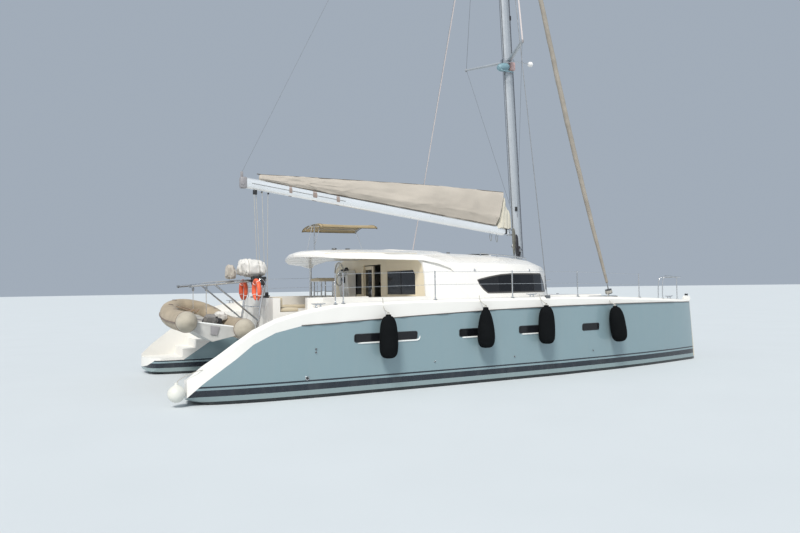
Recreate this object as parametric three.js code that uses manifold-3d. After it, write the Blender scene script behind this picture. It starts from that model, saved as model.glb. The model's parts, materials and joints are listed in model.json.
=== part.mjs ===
// A cruising catamaran of about 13.4 metres, afloat, with its mainsail stowed on the boom.
// Millimetres. +X is forward, +Y is to port, +Z is up, and Z = 0 is the waterline.
import * as THREE from "three";
import { mergeVertices } from "three/addons/utils/BufferGeometryUtils.js";
import Module from "manifold-3d";

const wasm = await Module();
wasm.setup();

// Driving dimensions
const GAP = 0.4;                // between pieces that touch on the real boat
const HULL_Y = 2590;            // hull centreline from the boat's centreline
const INNER_HALF = 740;         // hull centreline to its straight inner wall
const WALL_Y = HULL_Y - INNER_HALF;
const KNUCKLE_Z = 600;          // the inner wall is straight above this height
const DECK_Z = 1770;            // side deck
const FLOOR_Z = 1100;           // saloon and cockpit floor
const DECK_AFT_X = -4600;       // aft face of the bridge between the hulls
const DECK_FORE_X = 4150;       // its front face
const BULKHEAD_X = -1650;       // cabin's aft wall
const SHELL = 45;               // cabin wall thickness
const PANE = 14;                // window pane thickness
const MAST_FOOT = { x: 2800, z: 2690 };
const MAST_TOP = { x: 2150, z: 18600 };
const HOUNDS_Z = 16000;         // where the shrouds and the forestay meet the mast
const SPREADER = { z: 8250, tipX: 2080, tipY: 1320, tipZ: 8330 };
const GOOSENECK = { x: 2480, z: 3495 };
const BOOM_END = { x: -4925, z: 4465 };
const CHAINPLATE = { x: 1020, y: 3372, z: 1700 };
const STAY_FOOT = { x: 6165, z: 1760 };
const RUDDER_X = -5300;
const PROP_X = -4700;
const PROP_Z = -820;
const WHEEL = { x: -1985, y: 1380, z: 2395, radius: 300 };

// Materials, one for each finish
const finish = (color, roughness, metalness = 0) =>
  new THREE.MeshStandardMaterial({ color, roughness, metalness, flatShading: true });
const PAINT = {
  topsides: finish(0xb9c8cc, 0.25),
  gelcoat: finish(0xf2efe8, 0.35),
  cream: finish(0xe6dcc6, 0.5),
  antifouling: finish(0x1d2226, 0.8),
  steel: finish(0xc9ccd0, 0.25, 1),
  alloy: finish(0xb7bcc2, 0.4, 1),
  boom: finish(0xe9ecee, 0.35),
  bronze: finish(0xa8803c, 0.35, 1),
  glass: finish(0x1b1d21, 0.1),
  net: finish(0xd9d9d2, 0.9),
  canvas: finish(0xa89b86, 0.9),
  sail: finish(0xb3a791, 0.9),
  sunshade: finish(0xb7a67c, 0.9),
  fender: finish(0x17181a, 0.85),
  ball: finish(0xe8e2d6, 0.6),
  tube: finish(0xb5aa95, 0.7),
  tender: finish(0xc9c8c4, 0.5),
  buoy: finish(0xe2502c, 0.8),
  cloth: finish(0xe9e8e4, 0.9),
  cushion: finish(0xcfc2a6, 0.9),
};

// Solids and booleans

// Only the positions are kept, with shared corners merged.
function bare(geometry) {
  const open = geometry.index ? geometry.toNonIndexed() : geometry;
  const only = new THREE.BufferGeometry();
  only.setAttribute("position", open.getAttribute("position").clone());
  return mergeVertices(only, 1e-3);
}

function toSolid(geometry) {
  const g = bare(geometry);
  return new wasm.Manifold(new wasm.Mesh({
    numProp: 3,
    vertProperties: new Float32Array(g.attributes.position.array),
    triVerts: new Uint32Array(g.index.array),
  }));
}

function toGeometry(solid) {
  const made = solid.getMesh();
  const corners = new Float32Array(made.numVert * 3);
  for (let i = 0; i < made.numVert; i++) {
    corners.set(made.vertProperties.subarray(i * made.numProp, i * made.numProp + 3), i * 3);
  }
  const g = new THREE.BufferGeometry();
  g.setAttribute("position", new THREE.BufferAttribute(corners, 3));
  g.setIndex(new THREE.BufferAttribute(new Uint32Array(made.triVerts), 1));
  return g;
}

const join = (...parts) => toGeometry(parts.map(toSolid).reduce((a, b) => a.add(b)));
const cut = (body, ...tools) => toGeometry(tools.map(toSolid).reduce((a, b) => a.subtract(b), toSolid(body)));
const common = (a, b) => toGeometry(toSolid(a).intersect(toSolid(b)));
const moved = (g, x, y, z) => g.clone().translate(x, y, z);

// The same skin with every face turned round.
function turned(g) {
  const index = g.index.array;
  for (let i = 0; i < index.length; i += 3) {
    [index[i + 1], index[i + 2]] = [index[i + 2], index[i + 1]];
  }
  return g;
}

// The mirror image on the other side of the boat.
const mirrored = (geometry) => turned(bare(geometry).scale(1, -1, 1));

function box(x0, x1, y0, y1, z0, z1) {
  return new THREE.BoxGeometry(x1 - x0, y1 - y0, z1 - z0)
    .translate((x0 + x1) / 2, (y0 + y1) / 2, (z0 + z1) / 2);
}

// A round bar from one point to another.
function rod(from, to, radius, sides = 8, endRadius = radius) {
  const a = new THREE.Vector3(...from);
  const b = new THREE.Vector3(...to);
  const along = b.clone().sub(a);
  const turn = new THREE.Quaternion()
    .setFromUnitVectors(new THREE.Vector3(0, 1, 0), along.clone().normalize());
  return new THREE.CylinderGeometry(endRadius, radius, along.length(), sides)
    .applyQuaternion(turn)
    .translate(...a.add(b).multiplyScalar(0.5).toArray());
}

// Bars through a list of points, joined end to end.
function railing(points, radius, sides = 6) {
  return points.slice(1).map((p, i) => rod(points[i], p, radius, sides));
}

const polygon = (points) => new THREE.Shape(points.map(([a, b]) => new THREE.Vector2(a, b)));

// An outline of [x, z] points, extruded from y0 to y1.
function sideProfile(points, y0, y1) {
  return new THREE.ExtrudeGeometry(polygon(points), { depth: y1 - y0, bevelEnabled: false })
    .applyMatrix4(new THREE.Matrix4().set(1, 0, 0, 0, 0, 0, -1, y1, 0, 1, 0, 0, 0, 0, 0, 1));
}

// An outline of [x, y] points, extruded from z0 to z1.
function planProfile(points, z0, z1) {
  return new THREE.ExtrudeGeometry(polygon(points), { depth: z1 - z0, bevelEnabled: false })
    .translate(0, 0, z0);
}

// An outline of [y, z] points, extruded from x0 to x1.
function crossProfile(points, x0, x1) {
  return new THREE.ExtrudeGeometry(polygon(points), { depth: x1 - x0, bevelEnabled: false })
    .applyMatrix4(new THREE.Matrix4().set(0, 0, 1, x0, 1, 0, 0, 0, 0, 1, 0, 0, 0, 0, 0, 1));
}

// Triangles that close a flat ring of points, wound like the ring.
function capOf(ring) {
  const normal = new THREE.Vector3();
  ring.forEach((p, i) => {
    const q = ring[(i + 1) % ring.length];
    normal.add(new THREE.Vector3(...p).cross(new THREE.Vector3(...q)));
  });
  normal.normalize();
  const right = new THREE.Vector3(0, 1, 0).cross(normal);
  if (right.length() < 0.1) right.set(1, 0, 0);
  right.normalize();
  const up = normal.clone().cross(right);
  const flat = ring.map((p) => {
    const v = new THREE.Vector3(...p);
    return new THREE.Vector2(v.dot(right), v.dot(up));
  });
  return THREE.ShapeUtils.triangulateShape(flat, []);
}

// Strips across a ring that is the same on both sides, for one that isn't flat.
function stripsOf(ring) {
  const faces = [];
  for (let i = 0, j = ring.length - 1; i + 1 < j; i++, j--) {
    faces.push([i, i + 1, j]);
    if (i + 1 < j - 1) faces.push([i + 1, j - 1, j]);
  }
  return faces;
}

// A closed skin over rings of as many points each.
function loft(rings, lastCap = capOf) {
  const count = rings[0].length;
  const faces = [];
  for (let r = 0; r + 1 < rings.length; r++) {
    for (let i = 0; i < count; i++) {
      const j = (i + 1) % count;
      const [a, b, c, d] = [r * count + i, r * count + j, (r + 1) * count + j, (r + 1) * count + i];
      faces.push(a, b, c, a, c, d);
    }
  }
  const last = (rings.length - 1) * count;
  for (const [a, b, c] of capOf(rings[0])) faces.push(a, c, b);
  for (const [a, b, c] of lastCap(rings.at(-1))) faces.push(last + a, last + b, last + c);
  const g = new THREE.BufferGeometry();
  g.setAttribute("position", new THREE.Float32BufferAttribute(rings.flat(2), 3));
  g.setIndex(faces);
  return toSolid(g).volume() > 0 ? g : turned(g);
}

// The value at x of a column of a table whose first column is x.
function at(table, x, column) {
  const next = table.findIndex((row) => row[0] >= x);
  if (next < 0) return table.at(-1)[column];
  if (next === 0) return table[0][column];
  const [a, b] = [table[next - 1], table[next]];
  return a[column] + ((b[column] - a[column]) * (x - a[0])) / (b[0] - a[0]);
}

// Hulls

// x, keel z, half breadth at the waterline, half breadth at the top outboard and inboard,
// top z, deck edge z, straight inner wall (1) or not (0), height of the widest part of the bottom
const HULL = [
  [-6720, 105, 340, 430, 430, 140, 450, 0, 125],
  [-6450, 10, 420, 530, 500, 385, 690, 0, 80],
  [-6200, -80, 480, 610, 560, 580, 865, 0, 40],
  [-5900, -170, 540, 675, 610, 800, 1090, 0, 10],
  [-5600, -250, 590, 720, 650, 1045, 1300, 0, 0],
  [-5200, -340, 640, 760, 690, 1240, 1485, 0, 0],
  [-4680, -420, 675, 785, INNER_HALF, 1355, 1625, 1, 0],
  [-4000, -480, 700, 800, INNER_HALF, 1382, 1735, 1, 0],
  [-2500, -540, 717, 815, INNER_HALF, 1450, DECK_Z, 1, 0],
  [-500, -570, 717, 820, INNER_HALF, 1520, DECK_Z, 1, 0],
  [1500, -560, 690, 805, INNER_HALF, 1555, DECK_Z, 1, 0],
  [3000, -520, 590, 745, INNER_HALF, 1560, 1735, 1, 0],
  [4200, -460, 460, 625, INNER_HALF, 1555, 1690, 1, 0],
  [5200, -390, 310, 465, 430, 1545, 1640, 0, 0],
  [6000, -300, 160, 275, 250, 1530, 1605, 0, 0],
  [6450, -210, 70, 125, 115, 1520, 1595, 0, 0],
  [6610, -60, 12, 26, 26, 1515, 1590, 0, 0],
];
const [X, KEEL, WATER, OUT, IN, TOP, EDGE, STRAIGHT, WIDEST] = HULL[0].keys();
const BILGE_STEPS = 5;

// The bow leans aft as it rises: how far a point at height z of the row at x moves.
const RAKE = { slope: 0.091, from: 5200, to: 6610 };
const raked = (x, z) => x - RAKE.slope * z * Math.max(0, (x - RAKE.from) / (RAKE.to - RAKE.from));
// The row of the hull table that lies at x on the deck.
function rowAt(x) {
  const share = (RAKE.slope * 1585) / (RAKE.to - RAKE.from);
  return x < RAKE.from ? x : (x - share * RAKE.from) / (1 - share);
}

// The starboard hull's section, from the outer top edge round the keel to the inner top edge.
function hullRing(row, extra = 0) {
  const widest = row[WIDEST];
  const ring = [
    [row[OUT], row[TOP] + extra],
    [row[WATER] + 0.62 * (row[OUT] - row[WATER]), widest + 0.45 * (row[TOP] - widest)],
  ];
  for (let i = 0; i <= BILGE_STEPS; i++) {
    const angle = (i / BILGE_STEPS) * (Math.PI / 2);
    ring.push([row[WATER] * Math.cos(angle), widest + (row[KEEL] - widest) * Math.sin(angle)]);
  }
  for (let i = BILGE_STEPS - 1; i >= 0; i--) {
    const angle = (i / BILGE_STEPS) * (Math.PI / 2);
    ring.push([-row[WATER] * Math.cos(angle), widest + (row[KEEL] - widest) * Math.sin(angle)]);
  }
  ring.push(row[STRAIGHT]
    ? [-row[IN], KNUCKLE_Z]
    : [-0.5 * (row[WATER] + row[IN]), widest + 0.45 * (row[TOP] - widest)]);
  ring.push([-row[IN], row[TOP] + extra]);
  return ring.map(([out, z]) => [raked(row[X], z), -HULL_Y - out, z]);
}

// The transom is rounded in plan on its inboard side.
const sternCut = planProfile([
  [-6900, -3300], [-6706, -3300], [-6698, -2800], [-6640, -2420], [-6530, -2210], [-6330, -2060], [-6330, -1900],
  [-6900, -1900],
], -200, 900);

const hullBody = cut(loft(HULL.map((row) => hullRing(row))), sternCut);
const ENGINE_ROOM = { x0: -4600, x1: -3550, floor: 180 };

// Steps moulded into the stern, open on their inboard side: x from, x to, tread z
const STEPS = [
  [-6760, -5870, 400],
  [-5870, -5560, 610],
  [-5560, -5260, 820],
  [-5260, -4950, 1030],
  [-4950, -4640, 1240],
  [-4640, -3950, 1450],
];
const BULWARK = 95;

// A block over a step, kept clear of the hull's outer skin by a margin.
function stepBlock([x0, x1], margin, inner, z0, z1) {
  const between = HULL.map((row) => row[X]).filter((x) => x > x0 && x < x1);
  const outer = [x0, ...between, x1].map((x) => [x, -HULL_Y - at(HULL, x, OUT) + margin]);
  return planProfile([...outer, [x1, inner], [x0, inner]], z0, z1);
}
const INBOARD = -HULL_Y + INNER_HALF + 60;
// White moulding under each tread that lies lower than the hull's top.
const linings = (by) => STEPS.slice(0, -1).map(([x0, x1, tread]) =>
  stepBlock([x0 - by, x1 + 20 + by], BULWARK - 25 - by, INBOARD, tread - 60 - by, tread + 900));

function engine() {
  return box(-4350, -3680, -HULL_Y - 210, -HULL_Y + 210, ENGINE_ROOM.floor + GAP, 790);
}

function hull() {
  const tube = rod([RUDDER_X, -HULL_Y, -500], [RUDDER_X, -HULL_Y, -100], 32, 12);
  const pocket = box(ENGINE_ROOM.x0, ENGINE_ROOM.x1, -HULL_Y - 330, -HULL_Y + 330, ENGINE_ROOM.floor, 1700);
  return cut(hullBody, tube, pocket, ...linings(GAP));
}

// The white deck moulding: its sides are upright from the hull's top, then rounded over.
function deckRing(row) {
  const low = row[TOP] + GAP;
  const edge = row[EDGE];
  const round = Math.min(60, row[OUT] / 3);
  return [
    [row[OUT], low],
    [row[OUT] + 6, edge - round],
    [row[OUT] - 0.35 * round, edge - 0.3 * round],
    [row[OUT] - round, edge],
    [-row[IN], edge],
    [-row[IN], low],
  ].map(([out, z]) => [raked(row[X], z), -HULL_Y - out, z]);
}

// The raised strip outboard of the cockpit.
function coaming() {
  return planProfile([[-3900, -2950], [-1700, -2900], [-1700, -2560], [-2600, -2420], [-3900, -2360]],
    DECK_Z - 60, DECK_Z + 60);
}

function deck() {
  const moulding = cut(loft(HULL.map(deckRing)), sternCut);
  const under = common(join(...linings(0)), cut(loft(HULL.map((row) => hullRing(row, 2))), sternCut));
  const wells = STEPS.map(([x0, x1, tread]) => stepBlock([x0 - 3, x1], BULWARK, INBOARD, tread, tread + 900));
  const roller = sideProfile([[6270, 1560], [6480, 1545], [6515, 1590], [6495, 1680], [6330, 1690], [6270, 1640]],
    -HULL_Y - 26, -HULL_Y + 26);
  return cut(join(moulding, under, roller, coaming()), ...wells, wellOf(HATCH), wellOf(LID));
}

// Deck hatches and engine lids lie in shallow wells in the moulding.
const HATCH = { x0: 3150, x1: 3650, half: 250, z0: 1670, z1: 1735 };
const LID = { x0: -4600, x1: -4040, half: 300, z0: 1415, z1: 1465 };
const EASE = 6;
const RIM = 35;
const over = ({ x0, x1, half }, by, z0, z1) =>
  box(x0 - by, x1 + by, -HULL_Y - half - by, -HULL_Y + half + by, z0, z1);
const wellOf = (lid) => join(over(lid, EASE, lid.z0, 1900), over(lid, -RIM, 1200, 1900));
const lidOf = (lid) => over(lid, 0, lid.z0 + GAP, lid.z1);

const deckBody = deck();

// Seat a piece on a carrier: the carrier, moved by the gap, is cut from it.
const seated = (piece, carrier, x, y, z) => cut(piece, moved(carrier, x * GAP, y * GAP, z * GAP));

// Below the hull

function keel() {
  const fin = sideProfile([[-1500, -450], [1500, -450], [1150, -1250], [900, -1300], [-1250, -1300]],
    -HULL_Y - 75, -HULL_Y + 75);
  return seated(fin, hullBody, 0, 0, -1);
}

function rudder() {
  const half = 32;
  const outline = [[210, 0], [120, half], [-60, half * 0.9], [-330, 4], [-330, -4], [-60, -half * 0.9], [120, -half]];
  const blade = planProfile(outline.map(([x, y]) => [RUDDER_X + x, y - HULL_Y]), -1230, -440);
  const stock = rod([RUDDER_X, -HULL_Y, -460], [RUDDER_X, -HULL_Y, -100 - GAP], 26, 12);
  return join(blade, stock);
}

function saildrive() {
  const leg = planProfile([[-4100, 0], [-4180, 42], [-4420, 36], [-4500, 0], [-4420, -36], [-4180, -42]]
    .map(([x, y]) => [x, y - HULL_Y]), PROP_Z, -430);
  const pod = rod([PROP_X + 40, -HULL_Y, PROP_Z], [-4080, -HULL_Y, PROP_Z], 62, 12, 30);
  return seated(join(leg, pod), hullBody, 0, 0, -1);
}

function propeller() {
  const hub = rod([PROP_X - 70, -HULL_Y, PROP_Z], [PROP_X + 40 - GAP, -HULL_Y, PROP_Z], 34, 12, 48);
  const blades = [0, 1, 2].map((i) => {
    const blade = crossProfile([[-35, 20], [-70, 110], [-62, 185], [0, 215], [50, 180], [58, 100], [35, 20]],
      -7, 7).rotateZ(0.42);
    return blade.rotateX((i * 2 * Math.PI) / 3).translate(PROP_X, -HULL_Y, PROP_Z);
  });
  return join(hub, ...blades);
}

// The bridge between the hulls

// The foredeck's starboard corner, which runs aft round the cabin's foot and carries its wall.
function foreCorner(half) {
  const foot = CABIN.filter(([x]) => x >= 1900).map(([x, wide]) => [x - 68, 62 - wide]);
  const outside = planProfile([...foot, [foot.at(-1)[0], -2200], [foot[0][0], -2200]], 900, DECK_Z);
  return common(outside, box(1800, 2910, -half, 0, 900, DECK_Z));
}

function bridgedeck() {
  const half = WALL_Y - GAP;
  const bridge = sideProfile([
    [DECK_AFT_X, 820], [-4350, 760], [2500, 760], [3300, 850], [3850, 1060], [DECK_FORE_X, 1330],
    [DECK_FORE_X, 1640], [4060, DECK_Z], [2900, DECK_Z], [2900, FLOOR_Z], [DECK_AFT_X, FLOOR_Z],
  ], -half, half);
  const corner = foreCorner(half);
  return join(bridge, corner, mirrored(corner));
}

function cockpit() {
  const half = WALL_Y - GAP;
  const low = FLOOR_Z + GAP;
  const bench = box(DECK_AFT_X, -4000, -1250, 1250, low, 1540);
  const back = box(DECK_AFT_X, -4440, -1250, 1250, 1500, 1840);
  const side = box(-4050, -2650, 1150, half, low, 1540);
  const sideBack = box(-4050, -2650, 1720, half, 1500, 1840);
  const sill = box(-4050, -2650, -half, -1720, low, 1840);
  const lip = box(DECK_AFT_X, DECK_AFT_X + 120, -half, half, low, 1230);
  return join(bench, back, side, sideBack, lip, join(sill, box(DECK_AFT_X, -4000, -half, -1720, low, 1230)));
}


// Cabin plan at its foot: x, half width, height of the wall's top
const CABIN = [
  [BULKHEAD_X, 2620, 2560],
  [-780, 2614, 2554],
  [-680, 2613, 2553],
  [300, 2575, 2540],
  [1000, 2455, 2530],
  [1500, 2310, 2520],
  [1900, 2110, 2505],
  [2300, 1740, 2480],
  [2750, 1230, 2450],
  [3130, 780, 2425],
  [3450, 370, 2405],
  [3640, 0, 2400],
];
// Roof height on the centreline, with a low step across it
const CROWN = [
  [BULKHEAD_X, 2945], [-1100, 2938], [-780, 2924], [-680, 2872], [300, 2838], [900, 2812], [1700, 2772], [2150, 2732],
  [2480, 2680], [2820, 2605], [3100, 2540], [3400, 2465],
];
// Levels of the wall and roof: share of the foot's half width, how far the front draws back,
// then a fixed height or a share of the way from the wall's top to the crown
const LEVELS = [
  { wide: 1, back: 0, z: DECK_Z },
  { wide: 0.997, back: 4, z: 1885 },
  { wide: 0.98, back: 18, z: 2290 },
  { wide: 0.95, back: 60, rise: 0 },
  { wide: 0.83, back: 300, rise: 0.48 },
  { wide: 0.62, back: 620, rise: 0.8 },
  { wide: 0.36, back: 850, rise: 0.95 },
  { wide: 0.1, back: 950, rise: 1 },
];

// The cabin's outer shape drawn in by a wall thickness.
function cabinBody(inset, base, aft) {
  const rings = LEVELS.map(({ wide, back, z, rise }, level) => {
    const side = CABIN.map(([x, half, wallTop]) => {
      const forward = Math.max(0, x / CABIN.at(-1)[0]);
      const placeX = x - (back + inset * 1.3) * forward;
      const width = Math.max(0, half * wide - (half ? Math.min(inset, half * wide * 0.5) : 0));
      const fixed = level === 0 ? base : z;
      const height = fixed ?? wallTop + (at(CROWN, placeX, 1) - wallTop) * rise - inset;
      return [x === BULKHEAD_X ? x - aft : placeX, width, height];
    });
    const port = side.slice(0, -1).reverse();
    return [...side.map(([x, y, height]) => [x, -y, height]), ...port];
  });
  return loft(rings, stripsOf);
}

// Window openings. Each side window is an [x, z] outline and each front one a [y, z] outline.
const SIDE_WINDOW = [
  [-281, 2163], [63, 2229], [361, 2273], [753, 2298], [1880, 2302], [2130, 2080], [2230, 1878], [-20, 1878], [-134, 1960],
  [-234, 2073],
];
const FRONT_WINDOW = [[90, 1930], [1450, 1930], [1330, 2260], [90, 2260]];
function shrunk(outline, by) {
  const points = outline.map(([a, b]) => new THREE.Vector2(a, b));
  const side = Math.sign(THREE.ShapeUtils.area(points));
  return points.map((p, i) => {
    const before = p.clone().sub(points.at(i - 1)).normalize();
    const after = points[(i + 1) % points.length].clone().sub(p).normalize();
    const inward = new THREE.Vector2(-before.y - after.y, before.x + after.x);
    inward.multiplyScalar((side * by) / (1 + before.dot(after)));
    return [p.x + inward.x, p.y + inward.y];
  });
}
const sideCutter = (by) => sideProfile(shrunk(SIDE_WINDOW, by), -2900, -1500);
const frontCutter = (by) => crossProfile(shrunk(FRONT_WINDOW, by), 2150, 4200);

const cabinOuter = cabinBody(0, DECK_Z + GAP, 0);
const cabinInside = cabinBody(SHELL, 1600, 200);
const ROOF_HATCH = { x0: 1150, x1: 1650, half: 250, z: 2838 };
const roofBox = (by, z0, z1) =>
  box(ROOF_HATCH.x0 - by, ROOF_HATCH.x1 + by, -ROOF_HATCH.half - by, ROOF_HATCH.half + by, z0, z1);

// The roof's edge runs on over the aft end of each cabin side and dies away into it.
function eyebrows() {
  const rings = [
    [BULKHEAD_X, [-2520, 2600], [-2500, 2712], [-2200, 2760], [-2100, 2700], [-2100, 2560]],
    [-1300, [-2555, 2535], [-2520, 2630], [-2200, 2700], [-2100, 2660], [-2100, 2500]],
    [-1000, [-2565, 2430], [-2535, 2510], [-2200, 2560], [-2100, 2540], [-2100, 2400]],
    [-830, [-2540, 2300], [-2520, 2370], [-2200, 2400], [-2100, 2390], [-2100, 2290]],
  ].map(([x, ...points]) => points.map(([y, z]) => [x, y, z]));
  const brow = loft(rings);
  return [brow, mirrored(brow)];
}

function cabin() {
  const frame = roofBox(40, 2730, ROOF_HATCH.z);
  const step = rod([MAST_FOOT.x, 0, 2560], [MAST_FOOT.x, 0, MAST_FOOT.z], 175, 16);
  return cut(join(cut(join(cabinOuter, step, ...eyebrows()), cabinInside), frame), roofBox(-RIM, 2600, 2900),
    sideCutter(0), mirrored(sideCutter(0)), frontCutter(0), mirrored(frontCutter(0)));
}

function pane(cutter) {
  return cut(common(cutter, cabinOuter), cabinBody(PANE, 1600, 200));
}

const roofHatch = () => roofBox(0, ROOF_HATCH.z + GAP, ROOF_HATCH.z + 35);

// Aft wall of the saloon, with its doorway and windows.
const DOOR = { y0: -400, y1: 620, z1: 2590 };
const AFT_WINDOW = [[-2130, 1850], [-720, 1850], [-720, 2420], [-2020, 2420], [-2130, 2300]];
function bulkhead() {
  const [x0, x1] = [BULKHEAD_X + 10, BULKHEAD_X + 55];
  const fitting = moved(cabinInside.clone().scale(1, 0.9996, 1), 0, 0, -1);
  const above = common(box(x0, x1, -3000, 3000, DECK_Z + GAP, 3000), fitting);
  const below = box(x0, x1, -WALL_Y + 5, WALL_Y - 5, FLOOR_Z + GAP, DECK_Z + 30);
  const doorway = box(x0 - 100, x1 + 100, DOOR.y0, DOOR.y1, FLOOR_Z - 10, DOOR.z1);
  const window = (by) => crossProfile(shrunk(AFT_WINDOW, by), x0 - 100, x1 + 100);
  return cut(join(above, below), doorway, window(0), mirrored(window(0)));
}

const aftPane = () => crossProfile(shrunk(AFT_WINDOW, 1), BULKHEAD_X + 25, BULKHEAD_X + 39);

function saloonDoor() {
  const x0 = BULKHEAD_X + 55 + GAP;
  const leaf = box(x0, x0 + 40, DOOR.y0 + 520, DOOR.y1 + 60, FLOOR_Z + GAP, DOOR.z1 - 20);
  const light = box(x0 - 20, x0 + 60, DOOR.y0 + 600, DOOR.y1 - 20, 1350, DOOR.z1 - 110);
  return cut(leaf, light);
}

// Hardtop over the cockpit: x, half width, edge low z, edge high z, shoulder z, middle z, underside z
const HARDTOP = [
  [-3730, 200, 2765, 2790, 2812, 2830, 2760],
  [-3660, 620, 2745, 2798, 2850, 2878, 2750],
  [-3500, 1250, 2712, 2795, 2872, 2916, 2752],
  [-3230, 1790, 2660, 2780, 2875, 2935, 2758],
  [-2870, 2180, 2640, 2765, 2868, 2944, 2768],
  [-2450, 2370, 2625, 2750, 2860, 2947, 2772],
  [-2050, 2440, 2614, 2734, 2850, 2947, 2775],
  [BULKHEAD_X - GAP, 2505, 2603, 2716, 2835, 2945, 2775],
];
const HELM_WELL = { x0: -2400, x1: -1600, y0: 1000 };
function hardtop() {
  const ring = ([x, w, low, high, shoulder, middle, under]) => [
    [-w, low], [-0.5 * w, 0.35 * low + 0.65 * under], [0, under], [0.5 * w, 0.35 * low + 0.65 * under], [w, low],
    [w - 12, high], [0.74 * w, shoulder], [0, middle], [-0.74 * w, shoulder], [-w + 12, high],
  ].map(([y, z]) => [x, y, z]);
  const well = planProfile([
    [HELM_WELL.x0, 3000], [HELM_WELL.x0, HELM_WELL.y0 + 250], [HELM_WELL.x0 + 200, HELM_WELL.y0],
    [HELM_WELL.x1, HELM_WELL.y0], [HELM_WELL.x1, 3000],
  ], 2400, 3000);
  // The port side reaches down to its post.
  const corner = loft([
    [-3050, 2690, 2700, 2730], [-2700, 2640, 2640, 2740], [-2500, 2575, 2590, 2750], [-2405, 2572, 2585, 2755],
  ].map(([x, low, inner, top]) => [[x, 1860, top + 8], [x, 2230, inner], [x, 2350, low], [x, 2350, top + 15]]));
  return cut(join(loft(HARDTOP.map(ring)), corner), well);
}
const hardtopBody = hardtop();

function roofPost() {
  const [x, y] = [-2450, 2290];
  const post = rod([x, y, DECK_Z + GAP], [x, y, 2700], 36, 12);
  const foot = rod([x, y, DECK_Z + GAP], [x, y, DECK_Z + 14], 62, 14);
  return seated(join(post, foot), hardtopBody, 0, 0, -1);
}

// Helm station, raised, to port of the doorway

function helmStation() {
  const low = FLOOR_Z + GAP;
  const platform = box(-2640, BULKHEAD_X, 760, WALL_Y - 5, low, 1460);
  const console = sideProfile([
    [BULKHEAD_X, 1400], [-1760, 1400], [-1880, 2200], [-1880, 2450], [-1830, 2480], [BULKHEAD_X, 2480],
  ], 1080, 1710);
  return join(platform, console);
}

function helmSeat() {
  const legs = [[-2590, 1120], [-2590, 1640], [-2280, 1120], [-2280, 1640]]
    .map(([x, y]) => rod([x, y, 1460 + GAP], [x, y, 2230], 20, 8));
  const rest = box(-2620, -2250, 1110, 1650, 1780, 1810);
  const pad = box(-2680, -2210, 1060, 1700, 2220, 2290);
  return join(...legs, rest, pad);
}

function steeringWheel() {
  const rim = new THREE.TorusGeometry(WHEEL.radius, 13, 6, 24).rotateY(Math.PI / 2);
  const spokes = [0, 1, 2].map((i) => {
    const angle = Math.PI / 2 + (i * 2 * Math.PI) / 3;
    return rod([0, 0, 0], [0, Math.cos(angle) * WHEEL.radius, Math.sin(angle) * WHEEL.radius], 9, 6);
  });
  const hub = rod([-20, 0, 0], [-1880 - GAP - WHEEL.x, 0, 0], 36, 12);
  return join(rim, hub, ...spokes).translate(WHEEL.x, WHEEL.y, WHEEL.z);
}

// Sunshade over the helm, arched from side to side: y, z
const SHADE = { x0: -2735, x1: -1150 };
const SHADE_ARCH = [[790, 3610], [900, 3655], [1200, 3684], [1700, 3676], [2000, 3632], [2110, 3590]];
function sunshade() {
  const top = SHADE_ARCH.map(([y, z]) => [y, z + 14]).reverse();
  return crossProfile([...SHADE_ARCH, ...top], SHADE.x0, SHADE.x1);
}
// Its frame: two bows under the cloth, a forked support aft and a leg at the far front corner
const BOWS = [-2660, -1190];
function sunshadeFrame() {
  const bows = BOWS.flatMap((x) => railing(SHADE_ARCH.map(([y, z]) => [x, y, z - 9]), 11, 8));
  const joints = BOWS.flatMap((x) => SHADE_ARCH.slice(1, -1).map(([y, z]) => box(x - 8, x + 8, y - 8, y + 8, z - 22, z - 7)));
  const post = rod([-2660, 1400, 2800], [-2660, 1400, 3664], 17, 8);
  const struts = [
    rod([-2660, 1400, 3120], [-2500, 1400, 3640], 10, 6),
    rod([-2900, 1400, 2800], [-2720, 1400, 3640], 10, 6),
    rod([-2790, 1400, 3650], [-2420, 1400, 3650], 12.5, 8),
    rod([-790, 1990, 2480], [-1190, 2060, 3594], 11, 6),
  ];
  const rail = rod([-2690, 1950, 3622], [-1170, 1950, 3622], 8, 6);
  const frame = join(...bows, ...joints, post, ...struts, rail);
  return seated(seated(seated(frame, hardtopBody, 0, 0, 1), cabinOuter, 0, 0, 1), sunshade(), 0, 0, -1);
}

// Mast and boom

const mastX = (z) => MAST_FOOT.x + ((MAST_TOP.x - MAST_FOOT.x) * (z - MAST_FOOT.z)) / (MAST_TOP.z - MAST_FOOT.z);
const MAST_OVAL = { chord: 140, thick: 85, sides: 12 };

function mast() {
  const ring = (z) => Array.from({ length: MAST_OVAL.sides }, (_, i) => {
    const angle = (i / MAST_OVAL.sides) * 2 * Math.PI;
    return [mastX(z) + Math.cos(angle) * MAST_OVAL.chord, Math.sin(angle) * MAST_OVAL.thick, z];
  });
  const body = loft([MAST_FOOT.z + GAP, MAST_TOP.z].map(ring));
  const bracket = [-1, 1].map((side) => box(GOOSENECK.x - 30, mastX(3500) - 100, -34, 34,
    GOOSENECK.z + side * 80 - 10, GOOSENECK.z + side * 80 + 10));
  const pin = rod([GOOSENECK.x, 0, GOOSENECK.z - 80], [GOOSENECK.x, 0, GOOSENECK.z + 80], 12, 8);
  const spreaders = [-1, 1].map((side) => rod([mastX(SPREADER.z), 0, SPREADER.z],
    [SPREADER.tipX, side * SPREADER.tipY, SPREADER.tipZ], 34, 6, 22));
  const head = box(mastX(MAST_TOP.z) - 190, mastX(MAST_TOP.z) + 170, -45, 45, MAST_TOP.z - 60, MAST_TOP.z + 20);
  return join(body, ...bracket, pin, ...spreaders, head);
}

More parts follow.
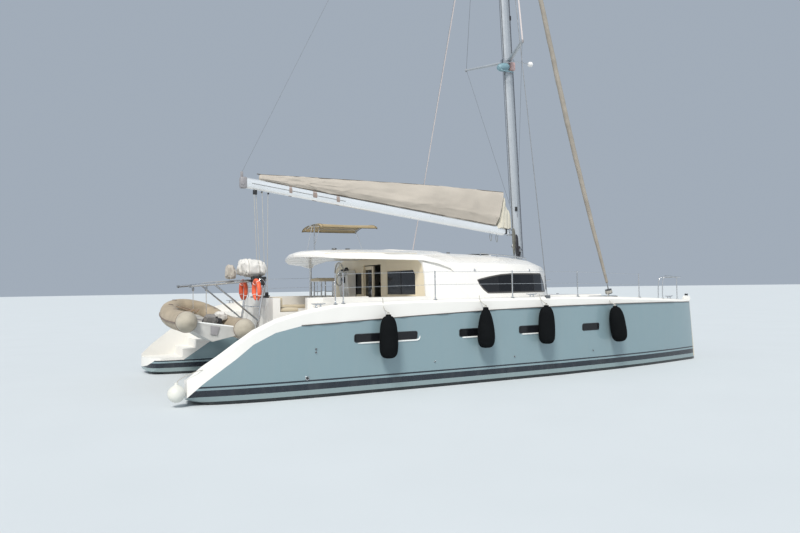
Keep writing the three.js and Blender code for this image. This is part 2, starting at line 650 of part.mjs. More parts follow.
function boom(extra = 0) {
  const length = Math.hypot(BOOM_END.x - GOOSENECK.x, BOOM_END.z - GOOSENECK.z);
  const tilt = Math.atan2(BOOM_END.z - GOOSENECK.z, GOOSENECK.x - BOOM_END.x);
  const section = (half, tall) => [
    [-half, -tall * 0.6], [-half * 0.5, -tall], [half * 0.5, -tall], [half, -tall * 0.6],
    [half, tall * 0.6], [half * 0.5, tall], [-half * 0.5, tall], [-half, tall * 0.6],
  ];
  const rings = [[-length, 75, 118], [-190, 73, 114], [-95, 42, 60]]
    .map(([x, half, tall]) => section(half + extra, tall + extra).map(([y, z]) => [x, y, z]));
  const eye = join(box(-130, 0, -26, 26, -60, 60), rod([0, 0, -60], [0, 0, 60], 34, 12));
  const spar = join(loft(rings), eye).rotateY(tilt).translate(GOOSENECK.x, 0, GOOSENECK.z);
  return cut(spar, rod([GOOSENECK.x, 0, GOOSENECK.z - 90], [GOOSENECK.x, 0, GOOSENECK.z + 90], 13, 12));
}

const boomTop = (x) => GOOSENECK.z + ((BOOM_END.z - GOOSENECK.z) * (x - GOOSENECK.x)) / (BOOM_END.x - GOOSENECK.x) + 125;
// x, half width at the foot, height above the boom, how far the section leans forward as it rises
const COVER = [
  [-4480, 60, 130, 0],
  [-2600, 130, 385, 0],
  [-300, 165, 690, 0],
  [1200, 178, 850, 0.12],
  [2010, 170, 925, 0.36],
];
function sailCover() {
  const ring = ([x, half, tall, lean]) => {
    const low = boomTop(x);
    return [
      [-half * 0.5, low - 70], [half * 0.5, low - 70], [half, low + tall * 0.2], [half * 0.8, low + tall * 0.55],
      [half * 0.25, low + tall * 0.97], [-half * 0.25, low + tall * 0.97], [-half * 0.8, low + tall * 0.55], [-half, low + tall * 0.2],
    ].map(([y, z]) => [x + lean * (z - low), y, z]);
  };
  return cut(loft(COVER.map(ring)), boom(1));
}

// Standing rigging

function shroud() {
  const top = [mastX(HOUNDS_Z) - 60, -62, HOUNDS_Z];
  const line = rod([CHAINPLATE.x, -CHAINPLATE.y, CHAINPLATE.z], top, 8, 6);
  const plate = box(CHAINPLATE.x - 60, CHAINPLATE.x + 60, -CHAINPLATE.y - 20, -CHAINPLATE.y + 35, 1700, 1800);
  return seated(seated(join(line, plate), deckBody, 0, 0, 1), mastBody, 0, -1, 0);
}

// Points of the furled headsail's middle line, sagging a little aft of the straight stay: x, z, radius
const FURL = [
  [6085, 2080, 38],
  [5445, 4150, 62],
  [4650, 6900, 70],
  [3780, 10300, 64],
  [3060, 13300, 50],
  [2560, 15500, 26],
];
function headsail() {
  const sides = 10;
  const rings = FURL.map(([x, z, radius], i) => {
    const [a, b] = [FURL[Math.max(i - 1, 0)], FURL[Math.min(i + 1, FURL.length - 1)]];
    const lean = Math.atan2(b[0] - a[0], b[1] - a[1]);
    return Array.from({ length: sides }, (_, k) => {
      const angle = (k / sides) * 2 * Math.PI;
      const across = Math.cos(angle) * radius;
      return [x + across * Math.cos(lean), Math.sin(angle) * radius, z - across * Math.sin(lean)];
    });
  });
  const [x, z] = FURL.at(-1);
  const stay = rod([x, 0, z - 20], [mastX(HOUNDS_Z) + 60, 0, HOUNDS_Z], 12, 6);
  return seated(join(loft(rings), stay), mastBody, 1, 0, 0);
}

function furler() {
  const [x, z] = FURL[0];
  const lower = rod([STAY_FOOT.x + 2, 0, STAY_FOOT.z - 150], [x, 0, z + 20], 14, 8);
  const drum = rod([STAY_FOOT.x - 6, 0, STAY_FOOT.z - 20], [STAY_FOOT.x - 32, 0, STAY_FOOT.z + 110], 95, 14);
  return cut(join(lower, drum), moved(headsail(), 0, 0, -GAP), moved(crossbeam(), 0, 0, GAP));
}

// Foredeck

const beamBody = () => seated(seated(rod([6090, -2500, 1440], [6090, 2500, 1440], 85, 12),
  join(hullBody, deckBody), 0, 1, 0), join(mirrored(hullBody), mirrored(deckBody)), 0, -1, 0);
function crossbeam() {
  const bracket = box(6110, 6210, -30, 30, 1480, STAY_FOOT.z - 120 - GAP);
  return join(beamBody(), bracket);
}

function longeron() {
  const body = box(DECK_FORE_X + GAP, 6460, -110, 110, 1540, 1640);
  const roller = rod([6460, -60, 1600], [6460, 60, 1600], 60, 12);
  return cut(join(body, roller), moved(crossbeam(), 0, 0, GAP), box(5980, 6200, -120, 120, 1300, 1545),
    box(6095, 6225, -36, 36, 1500, 1700));
}

function trampoline() {
  const outer = [4155, 5200, 5990].map((x) => [x, -HULL_Y + at(HULL, rowAt(x), IN) - 40]);
  return seated(planProfile([...outer, [5990, -112], [4155, -112]], 1580, 1592), deckBody, 0, 1, 0);
}

// Guard rails: x of each upright, and which one leans on what
const RAIL = { radius: 12 };
const POSTS = [-4030, -3870, -1855, 80, 1942, 4035];
function guardRail() {
  const edgeY = (x) => -HULL_Y - at(HULL, x, OUT) + 60;
  const foot = (x) => at(HULL, x, EDGE);
  const posts = POSTS.map((x) => rod([x, edgeY(x), foot(x) - 60], [x, edgeY(x), foot(x) + 575], RAIL.radius, 6));
  const top = railing(POSTS.map((x) => [x, edgeY(x), foot(x) + 560]), 4.5, 5);
  const middle = railing(POSTS.slice(1).map((x) => [x, edgeY(x), foot(x) + 300]), 4, 5);
  return seated(join(...posts, ...top, ...middle), deckBody, 0, 0, 1);
}

// Stern: davits, tender and what hangs there

const TENDER = { x: -5870, half: 575, radius: 205, aftY: -1560, bowY: 1330, tilt: 0.16, z: 1325, floor: -90 };
const DAVIT = { y: 700, x: -4790, topX: -4610, top: 2240, end: -6200, endZ: 2122 };
function davits() {
  const postX = (z) => DAVIT.x + ((DAVIT.topX - DAVIT.x) * (z - 1150)) / (DAVIT.top - 1150);
  const arms = [-1, 1].flatMap((side) => {
    const y = side * DAVIT.y;
    return [
      rod([DAVIT.x, y, 1150], [DAVIT.topX, y, DAVIT.top], 26, 8),
      rod([DAVIT.topX + 40, y, DAVIT.top], [DAVIT.end, y, DAVIT.endZ], 27, 8),
      rod([postX(1350), y, 1350], [-5700, y, 2155], 20, 8),
      box(DAVIT.x - 40, DECK_AFT_X - GAP, y - 60, y + 60, 1000, 1190),
      rod([TENDER.x, y, TENDER.z + TENDER.floor + GAP], [TENDER.x, y, 2150], 9, 6),
    ];
  });
  const cross = rod([postX(2060), -DAVIT.y, 2060], [postX(2060), DAVIT.y, 2060], 20, 8);
  const low = rod([postX(1640), -DAVIT.y, 1640], [postX(1640), DAVIT.y, 1640], 16, 8);
  return join(...arms, cross, low);
}

function tenderTubes(radius = TENDER.radius) {
  const { half, aftY, bowY } = TENDER;
  const side = [[1, aftY, 0], [1, -350, 10], [0.97, bowY * 0.4, 80], [0.82, bowY * 0.76, 185], [0.45, bowY * 0.96, 265]];
  const route = new THREE.CatmullRomCurve3([
    ...side.map(([wide, y, z]) => [half * wide, y, z]), [0, bowY, 290],
    ...side.reverse().map(([wide, y, z]) => [-half * wide, y, z]),
  ].map((p) => new THREE.Vector3(...p)), false, "centripetal");
  const round = new THREE.Shape(Array.from({ length: 12 }, (_, i) => new THREE.Vector2(
    Math.cos((i * Math.PI) / 6) * radius, Math.sin((i * Math.PI) / 6) * radius)));
  const tube = new THREE.ExtrudeGeometry(round, { steps: 20, bevelEnabled: false, extrudePath: route });
  const cones = [-half, half].map((x) => rod([x, aftY + 1, 0], [x, aftY - 230, 25], radius, 12, 70));
  return placeTender(join(tube, ...cones));
}

const placeTender = (g) => g.rotateY(TENDER.tilt).translate(TENDER.x, 0, TENDER.z);

function tenderHull() {
  const { half, aftY } = TENDER;
  // y, half breadth, chine z, keel z, rim z
  const rows = [
    [aftY + 60, 420, -150, -330, -20], [-100, 430, -150, -330, -10], [600, 370, -70, -230, 60], [1080, 170, 60, -30, 160],
  ];
  const rings = rows.map(([y, wide, chine, deep, rim]) => [
    [-wide, rim], [-wide, chine], [0, deep], [wide, chine], [wide, rim],
  ].map(([x, z]) => [y, x, z]));
  const bottom = loft(rings).rotateZ(Math.PI / 2);
  const transom = crossProfile([[-half + 130, -150], [0, -325], [half - 130, -150], [half - 200, 190], [-half + 200, 190]],
    0, 60).rotateZ(Math.PI / 2).translate(0, aftY + 40, 0);
  const inside = box(-330, 330, aftY + 150, 760, TENDER.floor, 200);
  return cut(placeTender(cut(join(bottom, transom), inside)), tenderTubes(TENDER.radius + 1));
}

// Fenders hang on the starboard side: x, lowest z, lean
const FENDERS = [
  [-3040, 670, 0],
  [-790, 750, 0],
  [810, 750, 0],
  [3080, 700, 0.22],
];
function fender([x, z, lean]) {
  const profile = [
    [0, 0], [90, 4], [150, 70], [180, 170], [180, 640], [150, 740], [90, 800], [25, 815], [25, 850], [0, 850],
  ].map(([r, h]) => new THREE.Vector2(r, h));
  const hung = new THREE.LatheGeometry(profile, 14).rotateX(Math.PI / 2).rotateY(-lean).translate(x, -3640, z);
  const free = toSolid(hung).minGap(toSolid(hullBody), 200);
  return hung.translate(0, free - GAP, 0);
}

// The boat's parts
const boat = new THREE.Group();
function add(name, geometry, material) {
  const shape = new THREE.Mesh(geometry, material);
  shape.name = name;
  boat.add(shape);
}
function addPair(name, geometry, material) {
  add(name + "_stbd", geometry, material);
  add(name + "_port", mirrored(geometry), material);
}

const mastBody = mast();

addPair("hull", hull(), PAINT.topsides);
addPair("deck", deckBody, PAINT.gelcoat);
addPair("keel", keel(), PAINT.antifouling);
addPair("rudder", rudder(), PAINT.antifouling);
addPair("saildrive", saildrive(), PAINT.alloy);
addPair("propeller", propeller(), PAINT.bronze);
addPair("deck_hatch", lidOf(HATCH), PAINT.glass);
addPair("engine_lid", lidOf(LID), PAINT.gelcoat);
addPair("engine", engine(), PAINT.alloy);
addPair("side_window", pane(sideCutter(1)), PAINT.glass);
addPair("front_window", mirrored(pane(frontCutter(1))), PAINT.glass);
addPair("aft_window", aftPane(), PAINT.glass);
addPair("guard_rail", guardRail(), PAINT.steel);
addPair("trampoline", trampoline(), PAINT.net);
addPair("shroud", shroud(), PAINT.steel);
add("bridgedeck", bridgedeck(), PAINT.gelcoat);
add("cockpit", cockpit(), PAINT.gelcoat);
add("cabin", cabin(), PAINT.gelcoat);
add("roof_hatch", roofHatch(), PAINT.glass);
add("bulkhead", bulkhead(), PAINT.cream);
add("saloon_door", saloonDoor(), PAINT.glass);
add("hardtop", hardtopBody, PAINT.gelcoat);
add("roof_post", roofPost(), PAINT.steel);
add("helm_station", helmStation(), PAINT.gelcoat);
add("helm_seat", helmSeat(), PAINT.cushion);
add("steering_wheel", steeringWheel(), PAINT.steel);
add("sunshade", sunshade(), PAINT.sunshade);
add("sunshade_frame", sunshadeFrame(), PAINT.steel);
add("mast", mastBody, PAINT.alloy);
add("boom", boom(), PAINT.boom);
add("sail_cover", sailCover(), PAINT.canvas);
add("headsail", headsail(), PAINT.sail);
add("furler", furler(), PAINT.steel);
add("crossbeam", crossbeam(), PAINT.alloy);
add("longeron", longeron(), PAINT.gelcoat);
add("davits", davits(), PAINT.steel);
add("tender_tubes", tenderTubes(), PAINT.tube);
add("tender_hull", tenderHull(), PAINT.tender);
FENDERS.forEach((row, i) => add("fender_" + (i + 1), fender(row), PAINT.fender));

export default boat;
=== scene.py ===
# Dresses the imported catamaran: materials for its solids, the finer pieces, a pale floor at the waterline,
# soft studio light and the photograph's view. Metres, +X forward, +Y to port, +Z up.
import json
import math

import bmesh
import bpy
from mathutils import Matrix, Vector, noise
from mathutils.bvhtree import BVHTree


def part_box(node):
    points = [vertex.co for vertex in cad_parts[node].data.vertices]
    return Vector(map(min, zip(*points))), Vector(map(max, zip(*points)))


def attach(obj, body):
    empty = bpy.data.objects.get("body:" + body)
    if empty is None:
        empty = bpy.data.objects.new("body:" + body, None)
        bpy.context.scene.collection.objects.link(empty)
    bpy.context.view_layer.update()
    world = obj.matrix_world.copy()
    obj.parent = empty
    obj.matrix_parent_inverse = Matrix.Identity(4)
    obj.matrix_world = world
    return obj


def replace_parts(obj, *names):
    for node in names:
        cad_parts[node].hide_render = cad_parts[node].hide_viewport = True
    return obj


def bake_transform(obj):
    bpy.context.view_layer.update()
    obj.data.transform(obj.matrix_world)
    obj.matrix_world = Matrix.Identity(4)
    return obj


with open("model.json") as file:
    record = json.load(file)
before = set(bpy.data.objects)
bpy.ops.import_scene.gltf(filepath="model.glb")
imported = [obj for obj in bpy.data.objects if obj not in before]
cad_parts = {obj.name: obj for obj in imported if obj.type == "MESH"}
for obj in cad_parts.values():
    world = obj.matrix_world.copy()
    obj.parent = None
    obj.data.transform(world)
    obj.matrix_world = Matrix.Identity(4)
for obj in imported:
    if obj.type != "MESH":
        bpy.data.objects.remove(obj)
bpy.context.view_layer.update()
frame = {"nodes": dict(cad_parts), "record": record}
NODES = frame["nodes"]
SIDES = ((-1, "stbd"), (1, "port"))
AFT, DOWN, UP = (-1, 0, 0), (0, 0, -1), Vector((0, 0, 1))
noise.seed_set(7)

# Camera and light

EYE = (-8.982, -15.426, 2.033)
YAW, PITCH, ROLL = (math.radians(a) for a in (27.651, 1.705, 0.877))
FOCAL_PIXELS, PHOTO_WIDTH = 689.646, 800
FLOOR_HALF = 400.0


def add_object(name, data):
    thing = bpy.data.objects.new(name, data)
    bpy.context.collection.objects.link(thing)
    return thing


def add_camera():
    data = bpy.data.cameras.new("camera")
    data.sensor_width = 36.0
    data.lens = FOCAL_PIXELS / PHOTO_WIDTH * data.sensor_width
    data.clip_end = 1000
    camera = add_object("camera", data)
    look = Vector((math.sin(YAW) * math.cos(PITCH), math.cos(YAW) * math.cos(PITCH), math.sin(PITCH)))
    level = Vector((math.cos(YAW), -math.sin(YAW), 0))
    above = level.cross(look)
    right = level * math.cos(ROLL) - above * math.sin(ROLL)
    up = level * math.sin(ROLL) + above * math.cos(ROLL)
    turn = Matrix((right, up, -look)).transposed().to_4x4()
    camera.matrix_world = Matrix.Translation(EYE) @ turn
    bpy.context.scene.camera = camera


def add_sun(name, way, strength, spread, color):
    data = bpy.data.lights.new(name, "SUN")
    data.energy = strength
    data.angle = math.radians(spread)
    data.color = color
    add_object(name, data).rotation_euler = Vector(way).to_track_quat("-Z", "Y").to_euler()


def add_stage():
    world = bpy.data.worlds.new("studio")
    bpy.context.scene.world = world
    world.use_nodes = True
    sky = world.node_tree.nodes["Background"].inputs
    sky[0].default_value = (0.72, 0.83, 0.97, 1)
    sky[1].default_value = 0.5
    add_sun("key", (0.5, 0.6, -0.86), 3.2, 16, (1.0, 0.965, 0.91))
    add_sun("fill", (-0.25, 0.93, -0.3), 0.42, 70, (0.93, 0.96, 1.0))
    add_sun("stern_fill", (0.93, 0.3, -0.22), 0.5, 70, (1.0, 0.97, 0.92))
    bpy.context.scene.view_settings.view_transform = "Standard"
    corners = [(x * FLOOR_HALF, y * FLOOR_HALF, 0) for x, y in ((-1, -1), (1, -1), (1, 1), (-1, 1))]
    mesh = bpy.data.meshes.new("floor")
    mesh.from_pydata(corners, [], [(0, 1, 2, 3)])
    mesh.materials.append(MATERIALS["floor_paint"])
    add_object("floor", mesh)


# Materials

MATERIALS = {}
# Nodes whose material isn't that of their slot.
OTHER_MATERIAL = {"deck_stbd": "deck", "deck_port": "deck", "mast": "mast", "saloon_door": "cream",
                  "shroud_stbd": "wire", "furler": "darksteel"}
# Bottom paint and boot stripes, each from its height above the water up to the next.
STRIPES = [
    (-1.0, (0.006, 0.01, 0.013)),
    (0.06, (0.23, 0.3, 0.31)),
    (0.155, (0.008, 0.014, 0.024)),
    (0.27, (0.225, 0.312, 0.34)),
    (0.312, (0.008, 0.014, 0.024)),
    (0.342, (0.215, 0.302, 0.332)),
]


# One material, fed by nodes that lie in the object's own space.
# An underscore stands for a space in a socket's name.
class Look:
    def __init__(self, name, color, rough, metal=0.0):
        self.made = bpy.data.materials.new(name)
        self.made.use_nodes = True
        self.nodes = self.made.node_tree.nodes
        self.surface = self.nodes["Principled BSDF"]
        self.place = self.nodes.new("ShaderNodeTexCoord").outputs["Object"]
        self.give(self.surface, Base_Color=color, Roughness=rough, Metallic=metal)
        MATERIALS[name] = self.made

    def feed(self, socket, value):
        if isinstance(value, bpy.types.NodeSocket):
            self.made.node_tree.links.new(value, socket)
        else:
            socket.default_value = (*value, 1) if socket.type == "RGBA" else value

    def give(self, node, **values):
        for name, value in values.items():
            self.feed(node.inputs[name.replace("_", " ")], value)

    def node(self, kind, **values):
        made = self.nodes.new(f"ShaderNode{kind}")
        self.give(made, **values)
        return made

    def grain(self, scale, detail=4.0, stretch=(1, 1, 1)):
        spot = self.node("Mapping", Vector=self.place, Scale=stretch)
        return self.node("TexNoise", Vector=spot.outputs[0], Scale=scale, Detail=detail).outputs["Fac"]

    def remap(self, value, low, high, from_low=0.3, from_high=0.7):
        return self.node("MapRange", Value=value, From_Min=from_low, From_Max=from_high, To_Min=low,
                         To_Max=high).outputs[0]

    def mix(self, factor, first, second):
        node = self.nodes.new("ShaderNodeMix")
        node.data_type = "RGBA"
        for socket, value in ((0, factor), (6, first), (7, second)):
            self.feed(node.inputs[socket], value)
        return node.outputs[2]

    def bump(self, height, strength, distance):
        node = self.node("Bump", Height=height, Strength=strength, Distance=distance)
        normal = self.surface.inputs["Normal"]
        if normal.links:
            self.feed(node.inputs["Normal"], normal.links[0].from_socket)
        self.feed(normal, node.outputs[0])


def darker(color, by):
    return tuple(c * (1 - by) for c in color)


def matt(name, color, rough, vary=0.06, scale=3.0, metal=0.0, fine=120.0, depth=0.0, coat=0.0,
         stretch=(1, 1, 1)):
    look = Look(name, color, rough, metal)
    patches = look.remap(look.grain(scale, 5.0, stretch), 0, 1)
    worn = look.remap(look.grain(scale * 2.7), max(0.02, rough - 0.05), min(1, rough + 0.07))
    look.give(look.surface, Base_Color=look.mix(patches, darker(color, vary), color), Roughness=worn,
              Coat_Weight=coat)
    if depth:
        look.bump(look.grain(fine, 2.0), 0.35, depth)


def metal(name, color, rough, vary=0.08, scale=20.0, stretch=(1, 1, 1)):
    matt(name, color, rough, vary, scale, 1.0, stretch=stretch)


# Woven cloth: two crossed sets of fine waves, soft blotches of dirt, and painted shade in the weave's low
# places.
def cloth(name, color, pitch=0.004, dirt=0.18, scale=1.6, rough=0.9, sheen=0.1, gloss=0.3, weave=("X", "Z")):
    look = Look(name, color, rough)
    threads = look.node("Math")
    threads.operation = "MULTIPLY"
    for socket, axis in zip(threads.inputs, weave):
        wave = look.node("TexWave", Vector=look.place, Scale=0.314 / pitch, Distortion=0.4)
        wave.bands_direction = axis
        look.feed(socket, wave.outputs["Fac"])
    weave_height = threads.outputs[0]
    blotches = look.mix(look.remap(look.grain(scale, 6.0, (1, 1, 1.6)), 0, 1), darker(color, dirt), color)
    # Painted shade: the weave's low places, which the bump also lowers, are darkened.
    weave_shade = look.mix(weave_height, darker(color, 0.3), color)
    look.give(look.surface, Base_Color=look.mix(0.25, blotches, weave_shade), Sheen_Weight=sheen,
              Specular_IOR_Level=gloss)
    look.bump(weave_height, 0.25, pitch * 0.3)
    look.bump(look.grain(9.0, 3.0), 0.15, 0.01)


def tinted(name, color, rough):
    look = Look(name, color, rough)
    shade = look.mix(look.remap(look.grain(1.3), 0, 1), color, darker(color, 0.3))
    smear = look.remap(look.grain(2.2, 6.0), rough, rough + 0.12)
    look.give(look.surface, Base_Color=shade, Roughness=smear, Specular_IOR_Level=0.3)


def hull_paint():
    look = Look("topsides", STRIPES[-1][1], 0.2)
    low, high = -1.0, 1.0
    height = look.node("SeparateXYZ", Vector=look.place).outputs["Z"]
    ramp = look.node("ValToRGB", Fac=look.remap(height, 0, 1, low, high))
    ramp.color_ramp.interpolation = "CONSTANT"
    elements = ramp.color_ramp.elements
    while len(elements) < len(STRIPES):
        elements.new(0.5)
    for element, (z, color) in zip(elements, STRIPES):
        element.position = (z - low) / (high - low)
        element.color = (*color, 1)
    streaks = look.remap(look.grain(2.0, 5.0, (3.0, 3.0, 0.5)), 0.0, 0.06, 0.45, 0.75)
    look.give(look.surface, Base_Color=look.mix(streaks, ramp.outputs[0], (0.34, 0.35, 0.34)),
              Roughness=look.remap(look.grain(1.1), 0.12, 0.24), Coat_Weight=0.15)


def make_materials():
    hull_paint()
    tinted("glass", (0.012, 0.013, 0.016), 0.06)
    tinted("hatch", (0.03, 0.034, 0.038), 0.12)
    matt("floor_paint", (0.62, 0.66, 0.68), 0.75, vary=0.02, scale=0.4)
    matt("gelcoat", (0.83, 0.81, 0.77), 0.28, vary=0.05, scale=0.9, coat=0.25)
    matt("deck", (0.8, 0.785, 0.745), 0.42, vary=0.07, scale=1.2, fine=260, depth=0.0006)
    matt("cream", (0.76, 0.67, 0.5), 0.4, vary=0.08, scale=1.5)
    matt("antifouling", (0.016, 0.02, 0.028), 0.8, vary=0.3, scale=5, fine=60, depth=0.001)
    matt("mast", (0.44, 0.47, 0.5), 0.4, vary=0.1, scale=3, metal=0.4, stretch=(1, 1, 0.15))
    matt("boom", (0.8, 0.82, 0.83), 0.3, vary=0.06, scale=2, metal=0.6)
    matt("cast", (0.12, 0.13, 0.14), 0.6, vary=0.2, scale=9, depth=0.001)
    matt("tender", (0.55, 0.55, 0.53), 0.5, vary=0.25, scale=3, depth=0.001)
    matt("black", (0.02, 0.02, 0.022), 0.45, vary=0.2, scale=20, fine=400, depth=0.0004)
    matt("leather", (0.5, 0.49, 0.46), 0.5, vary=0.15, scale=14, fine=300, depth=0.0004)
    matt("rubber", (0.09, 0.085, 0.08), 0.6, vary=0.2, scale=8)
    matt("lip", (0.8, 0.82, 0.8), 0.3, vary=0.05, scale=2)
    matt("white", (0.82, 0.81, 0.79), 0.4, vary=0.05, scale=6)
    matt("grey", (0.3, 0.29, 0.3), 0.55, vary=0.15, scale=9)
    matt("wire", (0.16, 0.17, 0.18), 0.5, vary=0.15, scale=6, metal=0.5)
    matt("sleeve", (0.62, 0.56, 0.55), 0.5, vary=0.1, scale=4)
    matt("rosy", (0.58, 0.4, 0.38), 0.45, vary=0.2, scale=8)
    matt("teal", (0.2, 0.33, 0.38), 0.5, vary=0.2, scale=6)
    matt("beige", (0.6, 0.54, 0.42), 0.55, vary=0.12, scale=5)
    matt("wood", (0.3, 0.2, 0.11), 0.4, vary=0.3, scale=6, stretch=(6, 0.6, 6))
    matt("orange", (0.85, 0.13, 0.05), 0.55, vary=0.15, scale=5)
    matt("ball", (0.72, 0.72, 0.66), 0.4, vary=0.12, scale=4)
    matt("tube_dark", (0.2, 0.15, 0.12), 0.6, vary=0.2, scale=9)
    metal("steel", (0.6, 0.61, 0.62), 0.24, vary=0.04, scale=6)
    metal("alloy", (0.56, 0.58, 0.6), 0.42, vary=0.1, scale=4, stretch=(1, 1, 0.2))
    metal("bronze", (0.5, 0.33, 0.13), 0.38, vary=0.2, scale=12)
    metal("darksteel", (0.32, 0.33, 0.34), 0.3)
    flat_lying = ("X", "Y")
    cloth("net", (0.62, 0.62, 0.58), 0.006, weave=flat_lying)
    cloth("sunshade", (0.55, 0.43, 0.25), dirt=0.15, weave=flat_lying)
    cloth("cushion", (0.6, 0.52, 0.38), 0.003, dirt=0.12, weave=flat_lying)
    cloth("canvas", (0.53, 0.48, 0.415), dirt=0.22, scale=1.1)
    cloth("sail", (0.38, 0.345, 0.295), dirt=0.3, scale=2.0)
    cloth("fender", (0.006, 0.007, 0.008), 0.009, dirt=0.3, scale=6, sheen=0, gloss=0.08)
    cloth("tube", (0.45, 0.37, 0.265), 0.003, dirt=0.3, scale=3.0, rough=0.75)
    cloth("cone", (0.5, 0.455, 0.37), 0.003, dirt=0.32, scale=4.0, rough=0.7)
    cloth("bag", (0.74, 0.72, 0.68), 0.003, dirt=0.12, scale=4.0)
    cloth("grey_cloth", (0.25, 0.24, 0.23), dirt=0.2, scale=4.0)
    # Dark canvas: the real zip on the sail cover, and the painted shadow along its lower edges.
    cloth("dark_canvas_and_shadow", (0.12, 0.105, 0.085), dirt=0.2)
    cloth("sunshade_dark", (0.16, 0.13, 0.08), dirt=0.2)
    cloth("sail_cream", (0.6, 0.57, 0.48), 0.003, dirt=0.15, scale=3.0)
    cloth("rope", (0.5, 0.48, 0.43), 0.006, dirt=0.2, scale=6)
    cloth("rope_dark", (0.05, 0.05, 0.06), 0.006, dirt=0.3, scale=6)
    cloth("rope_grey", (0.2, 0.2, 0.175), 0.006, dirt=0.3, scale=6)
    cloth("strap", (0.34, 0.27, 0.24), 0.003, dirt=0.2, scale=6)


def dress_nodes():
    for part in frame["record"]["subparts"]:
        materials = NODES[part["node"]].data.materials
        materials.clear()
        materials.append(MATERIALS[OTHER_MATERIAL.get(part["node"], part["material_slot"])])


# Shape code

SKINS = {}
# Rays cast beside the first one, which bridge the fine gaps between solids.
BESIDE = [(0, 0, 0), (0.002, 0.004, -0.006), (-0.002, -0.004, 0.006), (0.006, 0.014, -0.02),
          (-0.006, -0.014, 0.02)]


def surface_of(mesh):
    return BVHTree.FromPolygons([v.co for v in mesh.vertices], [p.vertices for p in mesh.polygons])


def skin(node):
    if node not in SKINS:
        SKINS[node] = surface_of(NODES[node].data)
    return SKINS[node]


# The nearest point where a ray meets one of the named solids.
def touch(nodes, start, way):
    start = Vector(start)
    way = Vector(way).normalized()
    found = []
    for shift in BESIDE:
        hits = [skin(node).ray_cast(start + Vector(shift), way)[3] for node in nodes.split()]
        found.append(min([h for h in hits if h is not None], default=math.inf))
    least = min(found)
    if least == math.inf:
        raise ValueError(f"no surface of {nodes} at {tuple(start)}")
    return start + way * (found[0] if found[0] < least + 0.06 else least)


def down(nodes, x, y, top=6.0):
    return touch(nodes, (x, y, top), DOWN).z


def circle(count):
    return [2 * math.pi * k / count for k in range(count)]


def ring_round(middle, across, other, radius, count, flat=1.0):
    return [middle + (across * math.cos(a) + other * math.sin(a) * flat) * radius for a in circle(count)]


def smooth_path(points, steps=6, closed=False):
    points = [Vector(p) for p in points]
    count = len(points)
    out = []
    for i in range(count if closed else count - 1):
        near = (i - 1, i, i + 1, i + 2)
        a, b, c, d = (points[k % count] if closed else points[min(max(k, 0), count - 1)] for k in near)
        for t in (k / steps for k in range(steps)):
            out.append(0.5 * (2 * b + (c - a) * t + (2 * a - 5 * b + 4 * c - d) * t * t
                              + (3 * b - a - 3 * c + d) * t ** 3))
    return out if closed else out + [points[-1]]


def straight(a, b, steps):
    return [Vector(a).lerp(Vector(b), i / steps) for i in range(steps + 1)]


def heading(path, i, closed=False):
    count = len(path)
    if closed:
        return (path[(i + 1) % count] - path[i - 1]).normalized()
    return (path[min(i + 1, count - 1)] - path[max(i - 1, 0)]).normalized()


def rounded_loop(width, height, corner, steps=5):
    out = []
    for quarter, (sx, sy) in enumerate(((1, 1), (-1, 1), (-1, -1), (1, -1))):
        for k in range(steps + 1):
            angle = (quarter + k / steps) * math.pi / 2
            out.append((sx * (width / 2 - corner) + math.cos(angle) * corner,
                        sy * (height / 2 - corner) + math.sin(angle) * corner))
    return out


# A flat loop whose every point moves outwards.
def grow(loop, by):
    count = len(loop)
    area = sum(loop[i - 1][0] * loop[i][1] - loop[i][0] * loop[i - 1][1] for i in range(count))
    turn = 1 if area > 0 else -1
    out = []
    for i in range(count):
        before = Vector(loop[i]) - Vector(loop[i - 1])
        after = Vector(loop[(i + 1) % count]) - Vector(loop[i])
        normals = [Vector((d.y, -d.x)).normalized() * turn for d in (before, after) if d.length > 1e-9]
        out.append(tuple(Vector(loop[i]) + sum(normals, Vector((0, 0))).normalized() * by))
    return out


def divided(loop, step):
    out = []
    for i in range(len(loop)):
        a, b = Vector(loop[i]), Vector(loop[(i + 1) % len(loop)])
        parts = max(1, round((b - a).length / step))
        out += [tuple(a.lerp(b, k / parts)) for k in range(parts)]
    return out


